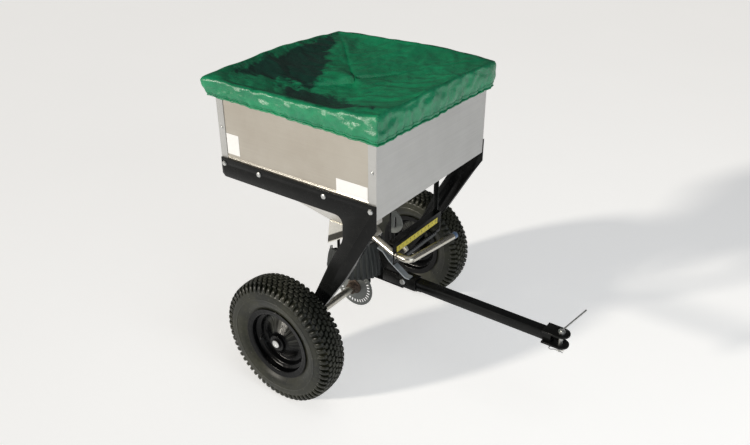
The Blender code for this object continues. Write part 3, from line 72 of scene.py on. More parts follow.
# A node tree with one way of adding nodes.
class Book:
    def __init__(self, tree):
        self.tree = tree

    def add(self, kind, settings=None, sockets=None, out=0):
        node = self.tree.nodes.new(kind)
        for key, value in (settings or {}).items():
            if key == "stops":
                ramp = node.color_ramp.elements
                while len(ramp) < len(value):
                    ramp.new(0.5)
                for element, (position, colour) in zip(ramp, value):
                    element.position = position
                    element.color = (*colour, 1)
            else:
                setattr(node, key, value)
        for key, value in (sockets or {}).items():
            if isinstance(value, Wire):
                self.tree.links.new(value.socket, node.inputs[key])
            else:
                node.inputs[key].default_value = value
        return Wire(self, node.outputs[out])

    def math(self, operation, a, b):
        return self.add("ShaderNodeMath", {"operation": operation}, {0: a, 1: b})


socketNames = {"Base": "Base Color", "Specular": "Specular IOR Level", "Emission": "Emission Color"}


# A material on the Principled shader.
class Finish(Book):
    def __init__(self, name, **fixed):
        self.material = bpy.data.materials.new(name)
        self.material.use_nodes = True
        super().__init__(self.material.node_tree)
        self.shader = self.tree.nodes["Principled BSDF"]
        for key, value in fixed.items():
            self.feed(key, value)
        self.coords = self.add("ShaderNodeTexCoord", out="Object")

    def feed(self, key, value):
        socket = self.shader.inputs[socketNames.get(key, key)]
        if isinstance(value, Wire):
            self.tree.links.new(value.socket, socket)
        else:
            socket.default_value = (*value, 1) if isinstance(value, tuple) else value

    def place(self):  # x from the axle, y and z
        x = self.add("ShaderNodeSeparateXYZ", {}, {0: self.coords})
        return x - rootX, x.other("Y"), x.other("Z")

    def round(self):  # distance from the axle and the angle round it, for what turns with it
        x, _, z = self.place()
        z = z - axleZ
        return (x * x + z * z) ** 0.5, self.math("ARCTAN2", x, z)

    def stretched(self, scale):
        return self.add("ShaderNodeMapping", {}, {"Vector": self.coords, "Scale": scale})

    def noise(self, scale, detail=3, rough=0.55, at=None, distort=0):
        return self.add("ShaderNodeTexNoise", {}, {
            "Vector": at or self.coords, "Scale": scale, "Detail": detail, "Roughness": rough,
            "Distortion": distort})

    def weave(self, direction, scale, distort=0):
        return self.add("ShaderNodeTexWave", {"wave_type": "BANDS", "bands_direction": direction},
                        {"Vector": self.coords, "Scale": scale, "Distortion": distort})

    def span(self, value, low, high, least, most):
        return self.add("ShaderNodeMapRange", {"clamp": True}, {
            "Value": value, "From Min": low, "From Max": high, "To Min": least, "To Max": most})

    def mask(self, value, low, high):
        return self.span(value, low, high, 0, 1)

    def between(self, value, least, most):  # for a noise, which seldom leaves 0.3 to 0.7
        return self.span(value, 0.3, 0.7, least, most)

    def mix(self, factor, a, b):
        a, b = ((*c, 1) if isinstance(c, tuple) else c for c in (a, b))
        return self.add("ShaderNodeMix", {"data_type": "RGBA"}, {0: factor, 6: a, 7: b}, out=2)

    def done(self, base, rough, height=None, strength=0, distance=0):
        self.feed("Base", base)
        self.feed("Roughness", rough)
        if height:
            self.feed("Normal", self.add("ShaderNodeBump", {}, {
                "Height": height, "Strength": strength, "Distance": distance}))
        return self.material


blackSet = {"low": (0.0035, 0.0037, 0.0038), "high": (0.008, 0.0085, 0.0085), "dust": (0.03, 0.03, 0.028)}


def blackPaint():
    s, f = blackSet, Finish("blackPaint", Specular=0.15)
    cloud = f.noise(9, 4)
    dust = f.mask(f.noise(38, 6, 0.7), 0.52, 0.8)
    base = f.mix(dust * 0.25, f.mix(cloud, s["low"], s["high"]), s["dust"])
    return f.done(base, f.between(cloud, 0.2, 0.32) + dust * 0.1, f.noise(420, 2), 0.1, 0.0006)


strokeScale = {"level": (3, 3, 900), "upright": (900, 900, 3)}
# Painted shade on the hood: a dark band above its slanted lower edge.
hoodShadeBand = {"edge": 0.375, "rear": -0.0678, "slope": 0.6, "rim": 0.0045, "top": 0.027, "fray": 0.003,
            "colour": (0.03, 0.028, 0.022)}


# Stainless sheet: fine strokes along one axis, soft clouding, faint handling marks.
def brushedSheet(name, run, warm, cool, rough, band=None):
    f = Finish(name, Metallic=0.88)
    scale = strokeScale[run]
    strokes = f.noise(1, 3, 0.6, f.stretched(scale))
    wide = f.noise(1, 2, 0.5, f.stretched(tuple(v * 0.12 if v > 10 else v for v in scale)))
    marks = f.mask(f.noise(26, 5, 0.65, distort=0.6), 0.6, 0.78)
    base = f.mix(f.mask(f.noise(5.5, 4, 0.6), 0.3, 0.7), warm, cool)
    base = f.mix(strokes * 0.3 + wide * 0.12, base, tuple(v * 0.62 for v in warm))
    base = f.mix(marks * 0.16, base, tuple(v * 0.8 for v in cool))
    if band:  # painted shade: a dark band above the slanted lower edge, standing in for the shaded lower lip; a thin strip along the edge keeps the sheet's own colour
        x, _, z = f.place()
        rise = z - (x - band["rear"]) * band["slope"] - band["edge"] + f.noise(60, 2) * band["fray"]
        above = f.mask(rise, band["rim"], band["rim"] + 0.002)
        below = 1 - f.mask(rise, band["top"], band["top"] + 0.003)
        base = f.mix(above * below * 0.94, base, band["colour"])
    return f.done(base, f.between(strokes, rough - 0.06, rough + 0.07) + marks * 0.08, strokes, 0.16, 0.0002)


def tubeSteel():
    f = Finish("tubeSteel", Metallic=0.95)
    strokes = f.noise(1, 3, 0.6, f.stretched((700, 60, 700)))
    base = f.mix(f.noise(24, 3), (0.5, 0.47, 0.4), (0.68, 0.66, 0.6))
    return f.done(base, f.between(strokes, 0.22, 0.34), strokes, 0.08, 0.0001)


def zinc(name="zincPlate", dull=0):
    f = Finish(name, Metallic=0.92)
    flake = f.add("ShaderNodeTexVoronoi", {}, {"Vector": f.coords, "Scale": 260}, out="Color")
    grey = f.add("ShaderNodeSeparateColor", {}, {0: flake})
    cloud = f.noise(60, 5, 0.6)
    dark, pale = (tuple(v * (1 - dull) for v in c) for c in ((0.42, 0.43, 0.43), (0.72, 0.72, 0.7)))
    base = f.mix(grey * 0.5 + cloud * 0.4, dark, pale)
    return f.done(base, f.between(cloud, 0.24 + dull * 0.4, 0.42 + dull * 0.4), cloud, 0.1, 0.0003)


def galvanised(name="galvanised", low=(0.135, 0.145, 0.14), high=(0.225, 0.235, 0.225)):
    f = Finish(name, Metallic=0.55)
    cloud = f.noise(46, 5, 0.6)
    stain = f.mask(f.noise(70, 4, 0.6), 0.55, 0.75)
    base = f.mix(stain * 0.35, f.mix(cloud, low, high), (0.12, 0.115, 0.1))
    return f.done(base, f.between(cloud, 0.4, 0.58), cloud, 0.18, 0.0004)


rustStops = [(0.3, (0.03, 0.024, 0.02)), (0.5, (0.085, 0.06, 0.045)), (0.66, (0.16, 0.115, 0.085)),
             (0.8, (0.26, 0.25, 0.23))]


def rustyIron():
    f = Finish("rustyIron", Metallic=0.35)
    cloud = f.noise(110, 6, 0.65)
    base = f.add("ShaderNodeValToRGB", {"stops": rustStops}, {0: cloud})
    return f.done(base, f.between(cloud, 0.82, 0.55), cloud, 0.5, 0.0008)


rubberSet = {"deep": (0.0016, 0.003, 0.0026), "pale": (0.024, 0.0245, 0.013), "dust": (0.05, 0.049, 0.032),
             "speck": (0.3, 0.3, 0.27), "worn": (0.085, 0.088, 0.072), "wornFrom": 0.199, "wornTo": 0.204}


def tyreRubber():
    s, f = rubberSet, Finish("tyreRubber", Specular=0.3)
    radius, angle = f.round()
    cloud = f.noise(22, 5, 0.6)
    dust = f.mask(f.noise(90, 4, 0.6), 0.48, 0.72)
    worn = f.mask(radius, s["wornFrom"], s["wornTo"])  # the tops of the lugs
    patch = f.mask(f.noise(7, 3, 0.55), 0.4, 0.62)
    specks = f.mask(f.noise(260, 2, 0.5), 0.7, 0.74) * (1 - worn)
    rings = f.noise(1, 2, 0.5, f.add("ShaderNodeCombineXYZ", {}, {0: radius * 900, 1: angle * 2}))
    base = f.mix(patch * 0.6 + cloud * 0.4, s["deep"], s["pale"])
    base = f.mix(dust * 0.3, base, s["dust"])
    base = f.mix(specks * 0.45, base, s["speck"])
    base = f.mix(worn * (0.06 + dust * 0.5), base, s["worn"])
    height = f.noise(600, 3) * 0.6 + rings * 0.5 + cloud * 1.2
    return f.done(base, f.between(cloud, 0.3, 0.42) + worn * 0.24, height, 0.25, 0.0006)


# The palest colour is a painted sheen for one side of the web.
rimPaintSet = {"low": (0.0016, 0.0017, 0.0019), "high": (0.0034, 0.0036, 0.004), "paintedSheen": (0.06, 0.062, 0.056),
               "web": (0.085, 0.08, 0.03, 0.036), "turn": (-1.3, -0.9, 1.9, 1.7)}


# Gloss black over pressed steel: radial strokes in the reflections, and a painted sheen of paler radial strokes
# on one side of the web.
def rimPaint():
    s, f = rimPaintSet, Finish("rimPaint", Specular=0.15)
    radius, angle = f.round()
    cloud = f.noise(14, 3)
    strokes = f.noise(1, 4, 0.65, f.add("ShaderNodeCombineXYZ", {}, {0: angle * 9, 1: radius * 7}))
    # painted sheen: paler strokes on the web, on one side of the wheel only
    paintedSheen = f.mask(strokes, 0.4, 0.66)
    for value, ends in ((radius, s["web"]), (angle, s["turn"])):
        paintedSheen = paintedSheen * f.mask(value, *ends[:2]) * f.mask(value, *ends[2:])
    base = f.mix(paintedSheen, f.mix(cloud, s["low"], s["high"]), s["paintedSheen"])
    height = strokes * 0.8 + f.noise(180, 2) * 0.05
    return f.done(base, f.span(strokes, 0.35, 0.65, 0.12, 0.26) + paintedSheen * 0.15, height, 0.35, 0.004)


def clouded(name, scale, detail, low, high, smooth, dull, grain=0, **fixed):
    f = Finish(name, **fixed)
    cloud = f.noise(scale, detail)
    height = f.noise(grain, 2) if grain else None
    return f.done(f.mix(cloud, low, high), f.between(cloud, smooth, dull), height, 0.12, 0.0003)


def plastic(name, low, high, rough):
    return clouded(name, 80, 4, low, high, rough - 0.05, rough + 0.06, 700, Specular=0.45)


# Rubberised cloth: a fine weave under a dull skin, with painted highlights in pale upright streaks.
def curtainCloth():
    f = Finish("curtainCloth", Specular=0.4)
    cloud = f.noise(26, 5, 0.6)
    paleStreakHighlight = f.mask(f.noise(1, 4, 0.6, f.stretched((60, 60, 7))), 0.5, 0.72)
    base = f.mix(cloud, (0.012, 0.0145, 0.0145), (0.026, 0.03, 0.03))
    # painted highlights: pale upright streaks for the light on the hanging folds
    base = f.mix(paleStreakHighlight * 0.4, base, (0.07, 0.078, 0.076))
    height = f.weave("Z", 220, 0.4) * 0.4 + cloud * 0.6
    return f.done(base, f.between(cloud, 0.48, 0.66), height, 0.25, 0.0005)


coverMiddle = 0.002  # the cover's middle, ahead of the axle
# The last colour is painted shade, near black, for the two hollows.
coverPaint = {"deep": (0.003, 0.17, 0.07), "bright": (0.005, 0.29, 0.12), "stroke": (0.003, 0.12, 0.066),
              "ridge": (0.016, 0.42, 0.2), "hollowShade": (0.0015, 0.02, 0.018)}
coverShadedHollows = (  # outlines of the two hollows painted in shade, anticlockwise
    [(-0.29, 0.285), (-0.272, -0.205), (-0.15, -0.15), (-0.078, -0.105), (-0.1, -0.015)],
    [(-0.14, -0.17), (0.03, -0.258), (0.215, -0.262), (0.24, -0.24), (0.03, -0.12), (-0.04, -0.115)])


# Coated cloth: saturated green under a slick crumpled skin, painted almost black in the two hollows as shade.
def coverCloth():
    s, f = coverPaint, Finish("coverCloth", Specular=0.6)
    cloud = f.noise(6, 4, 0.6)
    crumple = f.noise(34, 5, 0.62, distort=0.8)
    ridge = f.noise(13, 4, 0.6, distort=1.6)
    stroke = f.noise(1, 5, 0.66, f.stretched((15, 52, 30)))
    facets = f.add("ShaderNodeTexVoronoi", {"feature": "DISTANCE_TO_EDGE"}, {"Vector": f.coords, "Scale": 24},
                   out="Distance")
    base = f.mix(f.mask(cloud, 0.32, 0.68), s["deep"], s["bright"])
    base = f.mix(f.mask(stroke, 0.42, 0.7) * 0.55, base, s["stroke"])
    # painted highlight: paler green on the raised crumples
    base = f.mix(f.mask(crumple, 0.55, 0.8) * 0.25, base, s["ridge"])
    x, y, _ = f.place()
    x = x - coverMiddle
    fray = (ridge - 0.5) * 0.1 + (stroke - 0.5) * 0.05
    # painted shade: near black inside the two hollows
    hollowShade = 0
    for hollow in coverShadedHollows:
        inside = 1
        for (x0, y0), (x1, y1) in zip(hollow, hollow[1:] + hollow[:1]):
            span = hypot(x1 - x0, y1 - y0)
            depth = (x - x0) * ((y0 - y1) / span) + (y - y0) * ((x1 - x0) / span) + fray
            inside = f.mask(depth, -0.009, 0.012) * inside
        hollowShade = inside + hollowShade
    threads = (f.weave("X", 330) + f.weave("Y", 330)) * 0.03
    height = ridge * 0.9 + crumple * 0.7 + stroke * 0.8 + facets * 1.6 + threads
    return f.done(f.mix(hollowShade * 0.9, base, s["hollowShade"]), f.between(crumple, 0.24, 0.46), height, 0.55, 0.003)


paint = {
    "black": blackPaint(),
    "sideSheet": brushedSheet("sideSheet", "level", (0.5, 0.46, 0.4), (0.58, 0.55, 0.49), 0.44),
    "frontSheet": brushedSheet("frontSheet", "level", (0.52, 0.52, 0.51), (0.6, 0.6, 0.59), 0.42),
    "foldedSheet": brushedSheet("foldedSheet", "upright", (0.62, 0.6, 0.55), (0.74, 0.72, 0.68), 0.3),
    "hoodSheet": brushedSheet("hoodSheet", "upright", (0.66, 0.64, 0.58), (0.8, 0.78, 0.73), 0.3, hoodShadeBand),
    "tube": tubeSteel(),
    "zinc": zinc(),
    "galvanised": galvanised(),
    "darkRail": galvanised("darkRail", (0.03, 0.033, 0.036), (0.085, 0.09, 0.095)),
    # painted light: a paler copy of the galvanised finish, so the brace looks sunlit
    "paintedLitBrace": galvanised("paintedLitBrace", (0.3, 0.34, 0.38), (0.46, 0.5, 0.54)),
    "rust": rustyIron(),
    "rubber": tyreRubber(),
    "rim": rimPaint(),
    "nylon": plastic("bearingNylon", (0.55, 0.54, 0.5), (0.68, 0.67, 0.62), 0.45),
    "plug": plastic("plugPlastic", (0.09, 0.15, 0.26), (0.16, 0.23, 0.35), 0.35),
    "brightEnd": zinc("brightEnd", -0.15),
    "thread": plastic("hemThread", (0.006, 0.07, 0.035), (0.01, 0.11, 0.055), 0.6),
    "bushPlastic": plastic("bushPlastic", (0.018, 0.018, 0.019), (0.03, 0.03, 0.031), 0.45),
    "valve": plastic("valveRubber", (0.01, 0.01, 0.011), (0.02, 0.02, 0.021), 0.5),
    "label": plastic("blankLabel", (0.78, 0.78, 0.78), (0.86, 0.86, 0.86), 0.4),
    "ink": plastic("scaleInk", (0.008, 0.008, 0.008), (0.014, 0.014, 0.014), 0.45),
    "bronze": clouded("sinteredBronze", 150, 4, (0.4, 0.26, 0.11), (0.62, 0.43, 0.2), 0.34, 0.5,
                      Metallic=0.9),
    "curtain": curtainCloth(),
    "cover": coverCloth(),
    "scale": clouded("scaleYellow", 60, 3, (0.62, 0.5, 0.02), (0.8, 0.68, 0.045), 0.3, 0.45,
                     Specular=0.5),
}
print("finishes mixed")


def linked(name, data):
    obj = bpy.data.objects.new(name, data)
    scene.collection.objects.link(obj)
    return obj


def smoothed(obj, angle):
    obj.data.shade_smooth()
    obj.data.set_sharp_from_angle(angle=radians(angle))


# An object of a bmesh, with its normals outwards.
def newPiece(name, work, smoothAngle=35):
    bmesh.ops.remove_doubles(work, verts=work.verts, dist=0.000002)
    bmesh.ops.recalc_face_normals(work, faces=work.faces)
    mesh = bpy.data.meshes.new(name)
    work.to_mesh(mesh)
    work.free()
    obj = linked(name, mesh)
    if smoothAngle:
        smoothed(obj, smoothAngle)
    return obj


# A piece made by one shape function, such as lathe or sweep.
def made(name, smoothAngle, shape, *values):
    work = bmesh.new()
    shape(work, *values)
    return newPiece(name, work, smoothAngle)


def bakeModifiers(obj):
    graph = bpy.context.evaluated_depsgraph_get()
    mesh = bpy.data.meshes.new_from_object(obj.evaluated_get(graph))
    obj.modifiers.clear()
    obj.data = mesh


# Puts a finished piece on its body, in the finish of its slot.
def handOver(obj, body, look, slot, *replaced, shift=True):
    if shift:
        obj.data.transform(Matrix.Translation(toRoot))
    obj.data.materials.clear()
    obj.data.materials.append(paint[look])
    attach(obj, body)
    if replaced:
        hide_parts(*replaced)


def bridge(work, a, b):
    for k in range(len(a)):
        n = (k + 1) % len(a)
        corners = list(dict.fromkeys((a[k], a[n], b[n], b[k])))
        if len(corners) > 2:
            work.faces.new(corners)


# Walls between rings of vertices, and a face over each end.
def skin(work, rings):
    for a, b in zip(rings, rings[1:]):
        bridge(work, a, b)
    work.faces.new(rings[0])
    work.faces.new(list(reversed(rings[-1])))


# Turns a closed loop of (radius, along), in millimetres, about a line along Y; a zero radius is a pole.
def lathe(work, profile, centre, segments):
    rings = []
    for radius, along in ((r / 1000, t / 1000) for r, t in profile):
        turns = [2 * pi * k / segments for k in range(segments if radius else 1)]
        ring = [work.verts.new(Vector(centre) + Vector((radius * cos(a), along, radius * sin(a))))
                for a in turns]
        rings.append(ring if len(ring) > 1 else ring * segments)
    for a, b in zip(rings, rings[1:] + rings[:1]):
        bridge(work, a, b)


# A smooth curve through points; a point with a third value stays sharp.
def smoothLoop(points, steps, closed=True):
    count = len(points)
    out = []
    for i in range(count if closed else count - 1):
        p0, p1, p2, p3 = (Vector(points[k % count if closed else min(max(k, 0), count - 1)][:2])
                          for k in range(i - 1, i + 3))
        if len(points[i]) > 2:
            p0 = p1
        if len(points[(i + 1) % count]) > 2:
            p3 = p2
        for s in range(steps):
            t = s / steps
            out.append(tuple(0.5 * ((2 * p1) + (p2 - p0) * t + (2 * p0 - 5 * p1 + 4 * p2 - p3) * t * t
                                    + (3 * p1 - p0 - 3 * p2 + p3) * t ** 3)))
    return out if closed else out + [tuple(points[-1][:2])]


# A round bar along a path, closed at both ends; taper gives each point its share of the radius.
def sweep(work, path, radius, sides, taper=None):
    path = [Vector(p) for p in path]
    last = len(path) - 1
    tangents = [(path[min(i + 1, last)] - path[max(i - 1, 0)]).normalized() for i in range(last + 1)]
    normal = tangents[0].orthogonal().normalized()
    rings = []
    for i, point in enumerate(path):
        normal = (normal - tangents[i] * normal.dot(tangents[i])).normalized()
        side = tangents[i].cross(normal)
        r = radius * (taper[i] if taper else 1)
        turns = [2 * pi * k / sides for k in range(sides)]
        rings.append([work.verts.new(point + r * (cos(a) * normal + sin(a) * side)) for a in turns])
    skin(work, rings)


# A path with its corners rounded.
def bentPath(corners, radius, steps):
    corners = [Vector(c) for c in corners]
    path = [corners[0]]
    for before, corner, after in zip(corners, corners[1:], corners[2:]):
        back, ahead = (before - corner).normalized(), (after - corner).normalized()
        half = back.angle(ahead) / 2
        reach = radius / tan(half)
        centre = corner + (back + ahead).normalized() * radius / sin(half)
        start, end = corner + back * reach - centre, corner + ahead * reach - centre
        turn = start.cross(end).normalized()
        for s in range(steps + 1):
            path.append(centre + Matrix.Rotation(start.angle(end) * s / steps, 3, turn) @ start)
    return path + [corners[-1]]


# A block between two corners.
def block(work, low, high):
    rings = [[work.verts.new((x, y, z)) for y, z in ((low[1], low[2]), (high[1], low[2]), (high[1], high[2]),
                                                     (low[1], high[2]))] for x in (low[0], high[0])]
    skin(work, rings)


# The CAD node's own shape with its edges broken.
def softened(node, width):
    work = bmesh.new()
    work.from_mesh(nodes[node].data)
    bmesh.ops.remove_doubles(work, verts=work.verts, dist=0.000005)
    bmesh.ops.dissolve_limit(work, angle_limit=radians(1), verts=work.verts, edges=work.edges)
    obj = newPiece(node + "_soft", work, 0)
    bevel = obj.modifiers.new("edges", "BEVEL")
    bevel.width, bevel.segments, bevel.harden_normals = width, 2, False
    bevel.limit_method, bevel.angle_limit = "ANGLE", radians(28)
    bakeModifiers(obj)
    smoothed(obj, 40)
    handOver(obj, "chassis", "black", "frame_black", node, shift=False)


# A geometry tree with named inputs; gives the book, the inputs' wires and the ending to call.
def growTree(name, inputs):
    tree = bpy.data.node_groups.new(name, "GeometryNodeTree")
    tree.interface.new_socket("Geometry", in_out="INPUT", socket_type="NodeSocketGeometry")
    for key, (kind, value) in {**inputs, "Finish": ("Material", None)}.items():
        socket = tree.interface.new_socket(key, in_out="INPUT", socket_type="NodeSocket" + kind)
        if value is not None:
            socket.default_value = value
    tree.interface.new_socket("Geometry", in_out="OUTPUT", socket_type="NodeSocketGeometry")
    book = Book(tree)
    entry = book.add("NodeGroupInput").socket.node
    given = {socket.name: Wire(book, socket) for socket in entry.outputs if socket.name}

    def end(geometry):
        real = book.add("GeometryNodeRealizeInstances", {}, {0: geometry})
        dressed = book.add("GeometryNodeSetMaterial", {}, {"Geometry": real, "Material": given["Finish"]})
        group = tree.nodes.new("NodeGroupOutput")
        tree.links.new(dressed.socket, group.inputs[0])
        return tree
    return book, given, end


# Runs a tree on an object and keeps the result as its mesh.
def growOn(obj, tree, values):
    modifier = obj.modifiers.new(tree.name, "NODES")
    modifier.node_group = tree
    for item in tree.interface.items_tree:
        if item.in_out == "INPUT" and item.name in values:
            modifier[item.identifier] = values[item.name]
    bakeModifiers(obj)


# Repeats what it is given round the Y axis, then moves the ring to a wheel's centre.
def ringTree():
    book, given, end = growTree("ringOfLugs", {"Count": ("Int", 80), "Centre": ("Vector", None)})
    points = book.add("GeometryNodeMeshLine", {}, {"Count": given["Count"], "Offset": (0, 0, 0)})
    angle = book.add("GeometryNodeInputIndex") * (2 * pi) / given["Count"]
    placed = book.add("GeometryNodeInstanceOnPoints", {}, {
        "Points": points, "Instance": given["Geometry"],
        "Rotation": book.add("ShaderNodeCombineXYZ", {}, {"Y": angle})})
    return end(book.add("GeometryNodeTransform", {}, {"Geometry": placed, "Translation": given["Centre"]}))


# A washer and a chamfered head on every point, facing along a turned Z axis.
def screwTree():
    book, given, end = growTree("screwHeads", {
        "Radius": ("Float", 0.0065), "Height": ("Float", 0.004), "Washer": ("Float", 0.008),
        "Sides": ("Int", 24), "Turn": ("Vector", None)})
    height, radius, sides = given["Height"], given["Radius"], given["Sides"]
    washer = book.add("GeometryNodeMeshCylinder", {}, {
        "Vertices": sides, "Radius": given["Washer"], "Depth": 0.0012})
    barrel = book.add("GeometryNodeMeshCone", {}, {
        "Vertices": sides, "Radius Top": radius, "Radius Bottom": radius, "Depth": height * 0.7})
    crown = book.add("GeometryNodeMeshCone", {}, {
        "Vertices": sides, "Radius Top": radius * 0.62, "Radius Bottom": radius * 0.985,
        "Depth": height * 0.35})
    lift = book.add("ShaderNodeCombineXYZ", {}, {"Z": height * 0.66})
    head = book.add("GeometryNodeJoinGeometry")
    for part in (book.add("GeometryNodeTransform", {}, {"Geometry": washer, "Translation": (0, 0, 0.0005)}),
                 barrel, book.add("GeometryNodeTransform", {}, {"Geometry": crown, "Translation": lift})):
        book.tree.links.new(part.socket, head.socket.node.inputs[0])
    points = book.add("GeometryNodeMeshToPoints", {}, {"Mesh": given["Geometry"]})
    return end(book.add("GeometryNodeInstanceOnPoints", {}, {
        "Points": points, "Instance": head, "Rotation": given["Turn"]}))


# Short raised stitches along the edges that it is given.
def stitchTree():
    book, given, end = growTree("stitches", {
        "Spacing": ("Float", 0.006), "Length": ("Float", 0.0034), "Thickness": ("Float", 0.0005)})
    line = book.add("GeometryNodeMeshToCurve", {}, {"Mesh": given["Geometry"]})
    points = book.add("GeometryNodeCurveToPoints", {"mode": "LENGTH"}, {
        "Curve": line, "Length": given["Spacing"]})
    thread = book.add("GeometryNodeMeshCylinder", {}, {
        "Vertices": 6, "Radius": given["Thickness"], "Depth": given["Length"]})
    return end(book.add("GeometryNodeInstanceOnPoints", {}, {
        "Points": points, "Instance": thread, "Rotation": points.other("Rotation")}))


trees = {"ring": ringTree(), "screw": screwTree(), "stitch": stitchTree()}
print("trees grown")


sides = {-1: ("near", "right", "drive_wheel"), 1: ("far", "left", "free_wheel")}
# The profiles of the wheels and axle ends are in millimetres.
wheelSet = {"centreY": 0.365, "pitches": 62, "crown": 0.205, "crownDrop": 3.3, "tyreSegments": 124,
            "rimSegments": 128}
blockSet = {"rows": (0, 0.0138, -0.0138, 0.0268, -0.0268), "leans": (0, 0.003, -0.003, 0.0018, -0.0018),
            "across": 0.0112, "along": 0.0134, "bow": 0.002, "foot": -0.0095, "top": -0.0001, "chamfer": 0.0011,
            "shrink": (1.04, 0.95, 0.8)}
tyreOuter = [  # (radius, across) of one half, from the bead to the crown; 1 keeps a point sharp
    (101.8, 35, 1), (107.5, 36.2), (116.5, 36.6), (118.2, 37.8), (119.8, 38), (125, 40.7), (130, 43.4),
    (135, 45.7), (142, 47.7), (152, 49.1), (154.2, 50), (156.4, 49.3), (168, 48.7), (174.5, 47.6),
    (177.5, 46.2), (181.5, 43), (186.5, 39.2), (191.8, 33.5), (194.8, 26.2), (196.5, 14)]
tyreCrown = 197
tyreInner = [(101.8, -27), (128, -27), (155, -40), (175, -39), (186, -23), (190, 0)]
fingerPath = [  # (across, radius) from the side wall over the shoulder
    (47.4, 174.2), (48.7, 178.5), (48, 185), (45.9, 191.2), (43, 195.7), (39.2, 198.6), (35.2, 200),
    (33, 199.6)]
fingerWidth = (0.5, 0.8, 0.66, 0.6, 0.57, 0.54, 0.48, 0.34)  # shares of a pitch
fingerSection = ((-1.06, 6.5), (-0.9, 1.3), (-0.55, 0), (0.55, 0), (0.9, 1.3), (1.06, 6.5))  # (share, depth)
fingerDrop = 1.6  # of its inner end
rimOuter = [  # (radius, along), right round the pressing
    (18.3, 38, 1), (24, 38, 1), (26.2, 36.2), (26.4, 29.2), (28.5, 25.2), (34, 21.2), (45, 14), (56, 6.4),
    (63, 2.4), (70, 1), (76.5, 1.8), (81.2, 4.8), (84.2, 11), (86.8, 15.8), (93, 19), (97.2, 21.6),
    (98.4, 25), (98.7, 34.5), (100.2, 38.4), (105, 40), (111, 40.7), (115.4, 41.5), (117.3, 41.1),
    (117.5, 39.6), (115, 38.6), (106, 37.4), (101.6, 35.2), (101.4, 24), (99, 20.5), (89, 13), (88, 6),
    (88, -10), (99, -20), (101.4, -24), (101.6, -35.2), (106, -37.4), (115, -38.6), (117.5, -39.6),
    (117.3, -41.1), (115.4, -41.5), (108, -40.4), (101, -39.2), (98.8, -36), (98.5, -25), (95, -22.5),
    (87, -16), (83.2, -9), (80, -3.2), (74, -1.8), (66, -3), (60, -0.8), (45, 9.8), (34, 17), (28.5, 19),
    (26.4, 14), (26.2, -33), (24.5, -34.8, 1), (18.3, -34.8, 1)]
valveSet = {"turn": {-1: -166, 1: 60}, "radius": 0.088, "along": 0.012, "lean": (-0.55, 0.84), "size": 0.0042,
            "stops": [(0, 1.3), (0.004, 1.3), (0.006, 1), (0.018, 0.85), (0.0185, 0.7), (0.024, 0.7),
                      (0.025, 0.5)]}
axleWasher = [(12.9, 39.7), (16.5, 39.7), (16.8, 40.2), (16.8, 42), (16, 42.8), (13.4, 42.8), (12.9, 42.2)]
axleEnd = [(0, 41.2), (12.4, 41.2), (12.5, 42.4), (11.6, 43.4), (10, 43.7), (3.2, 43.8), (2, 43), (0, 42.8)]


def wheelCentre(side):
    return 0, side * wheelSet["centreY"], axleZ


# A block of the tread: its foot a little larger than its top, which is chamfered.
def lug(work, corners):
    s = blockSet
    middle = sum((Vector(c) for c in corners), Vector((0, 0))) / len(corners)
    loops = []
    for level, shrink in zip((s["foot"], s["top"] - s["chamfer"], s["top"]), s["shrink"]):
        spots = [middle + (Vector(c) - middle) * shrink for c in corners]
        loops.append([])
        for across, along in spots:
            radius = wheelSet["crown"] - wheelSet["crownDrop"] * across * across + level
            angle = along / wheelSet["crown"]
            loops[-1].append(work.verts.new((radius * sin(angle), across, radius * cos(angle))))
    skin(work, loops)


# The rounded tooth that runs from the side wall up over the shoulder.
def finger(work, side, pitch):
    last = len(fingerPath) - 1
    loops = []
    for i, (across, radius) in enumerate(fingerPath):
        run = (Vector(fingerPath[min(i + 1, last)]) - Vector(fingerPath[max(i - 1, 0)])).normalized()
        drop = fingerDrop if i == last else 0
        ring = []
        for part, down in fingerSection:
            t, r = across - run.y * (down + drop), radius + run.x * (down + drop)
            angle = 0.5 * pitch + part * (fingerWidth[i] * pitch / 2)
            spot = (r * sin(angle), side * t, r * cos(angle))
            ring.append(work.verts.new([value / 1000 for value in spot]))
        loops.append(ring)
    skin(work, loops)


def makeTyre(side):
    near, right, body = sides[side]
    half = smoothLoop(tyreOuter, 3, closed=False)
    profile = half + [(tyreCrown, 0)] + [(r, -t) for r, t in reversed(half)]
    profile += tyreInner + [(r, -t) for r, t in reversed(tyreInner[:-1])]
    tyre = made(near + "Tyre", 50, lathe, profile, wheelCentre(side), wheelSet["tyreSegments"])
    pitch = 2 * pi / wheelSet["pitches"]
    s = blockSet
    w, h = s["across"] / 2, s["along"] / 2
    work = bmesh.new()
    for i, (across, lean) in enumerate(zip(s["rows"], s["leans"])):
        along = pitch * wheelSet["crown"] * (0.5 if i in (1, 2) else 0)
        lug(work, [(across - w, along - h - lean), (across - w * 0.1, along - h - s["bow"]),
                   (across + w, along - h + lean), (across + w, along + h + lean),
                   (across + w * 0.1, along + h + s["bow"]), (across - w, along + h - lean)])
    for way in (-1, 1):
        finger(work, way, pitch)
    lugs = newPiece(near + "Tyre_lugs", work, 30)
    growOn(lugs, trees["ring"], {
        "Count": wheelSet["pitches"], "Centre": wheelCentre(side), "Finish": paint["rubber"]})
    smoothed(lugs, 38)
    handOver(tyre, body, "rubber", "tyre", "tyre_" + right)
    handOver(lugs, body, "rubber", "tyre")


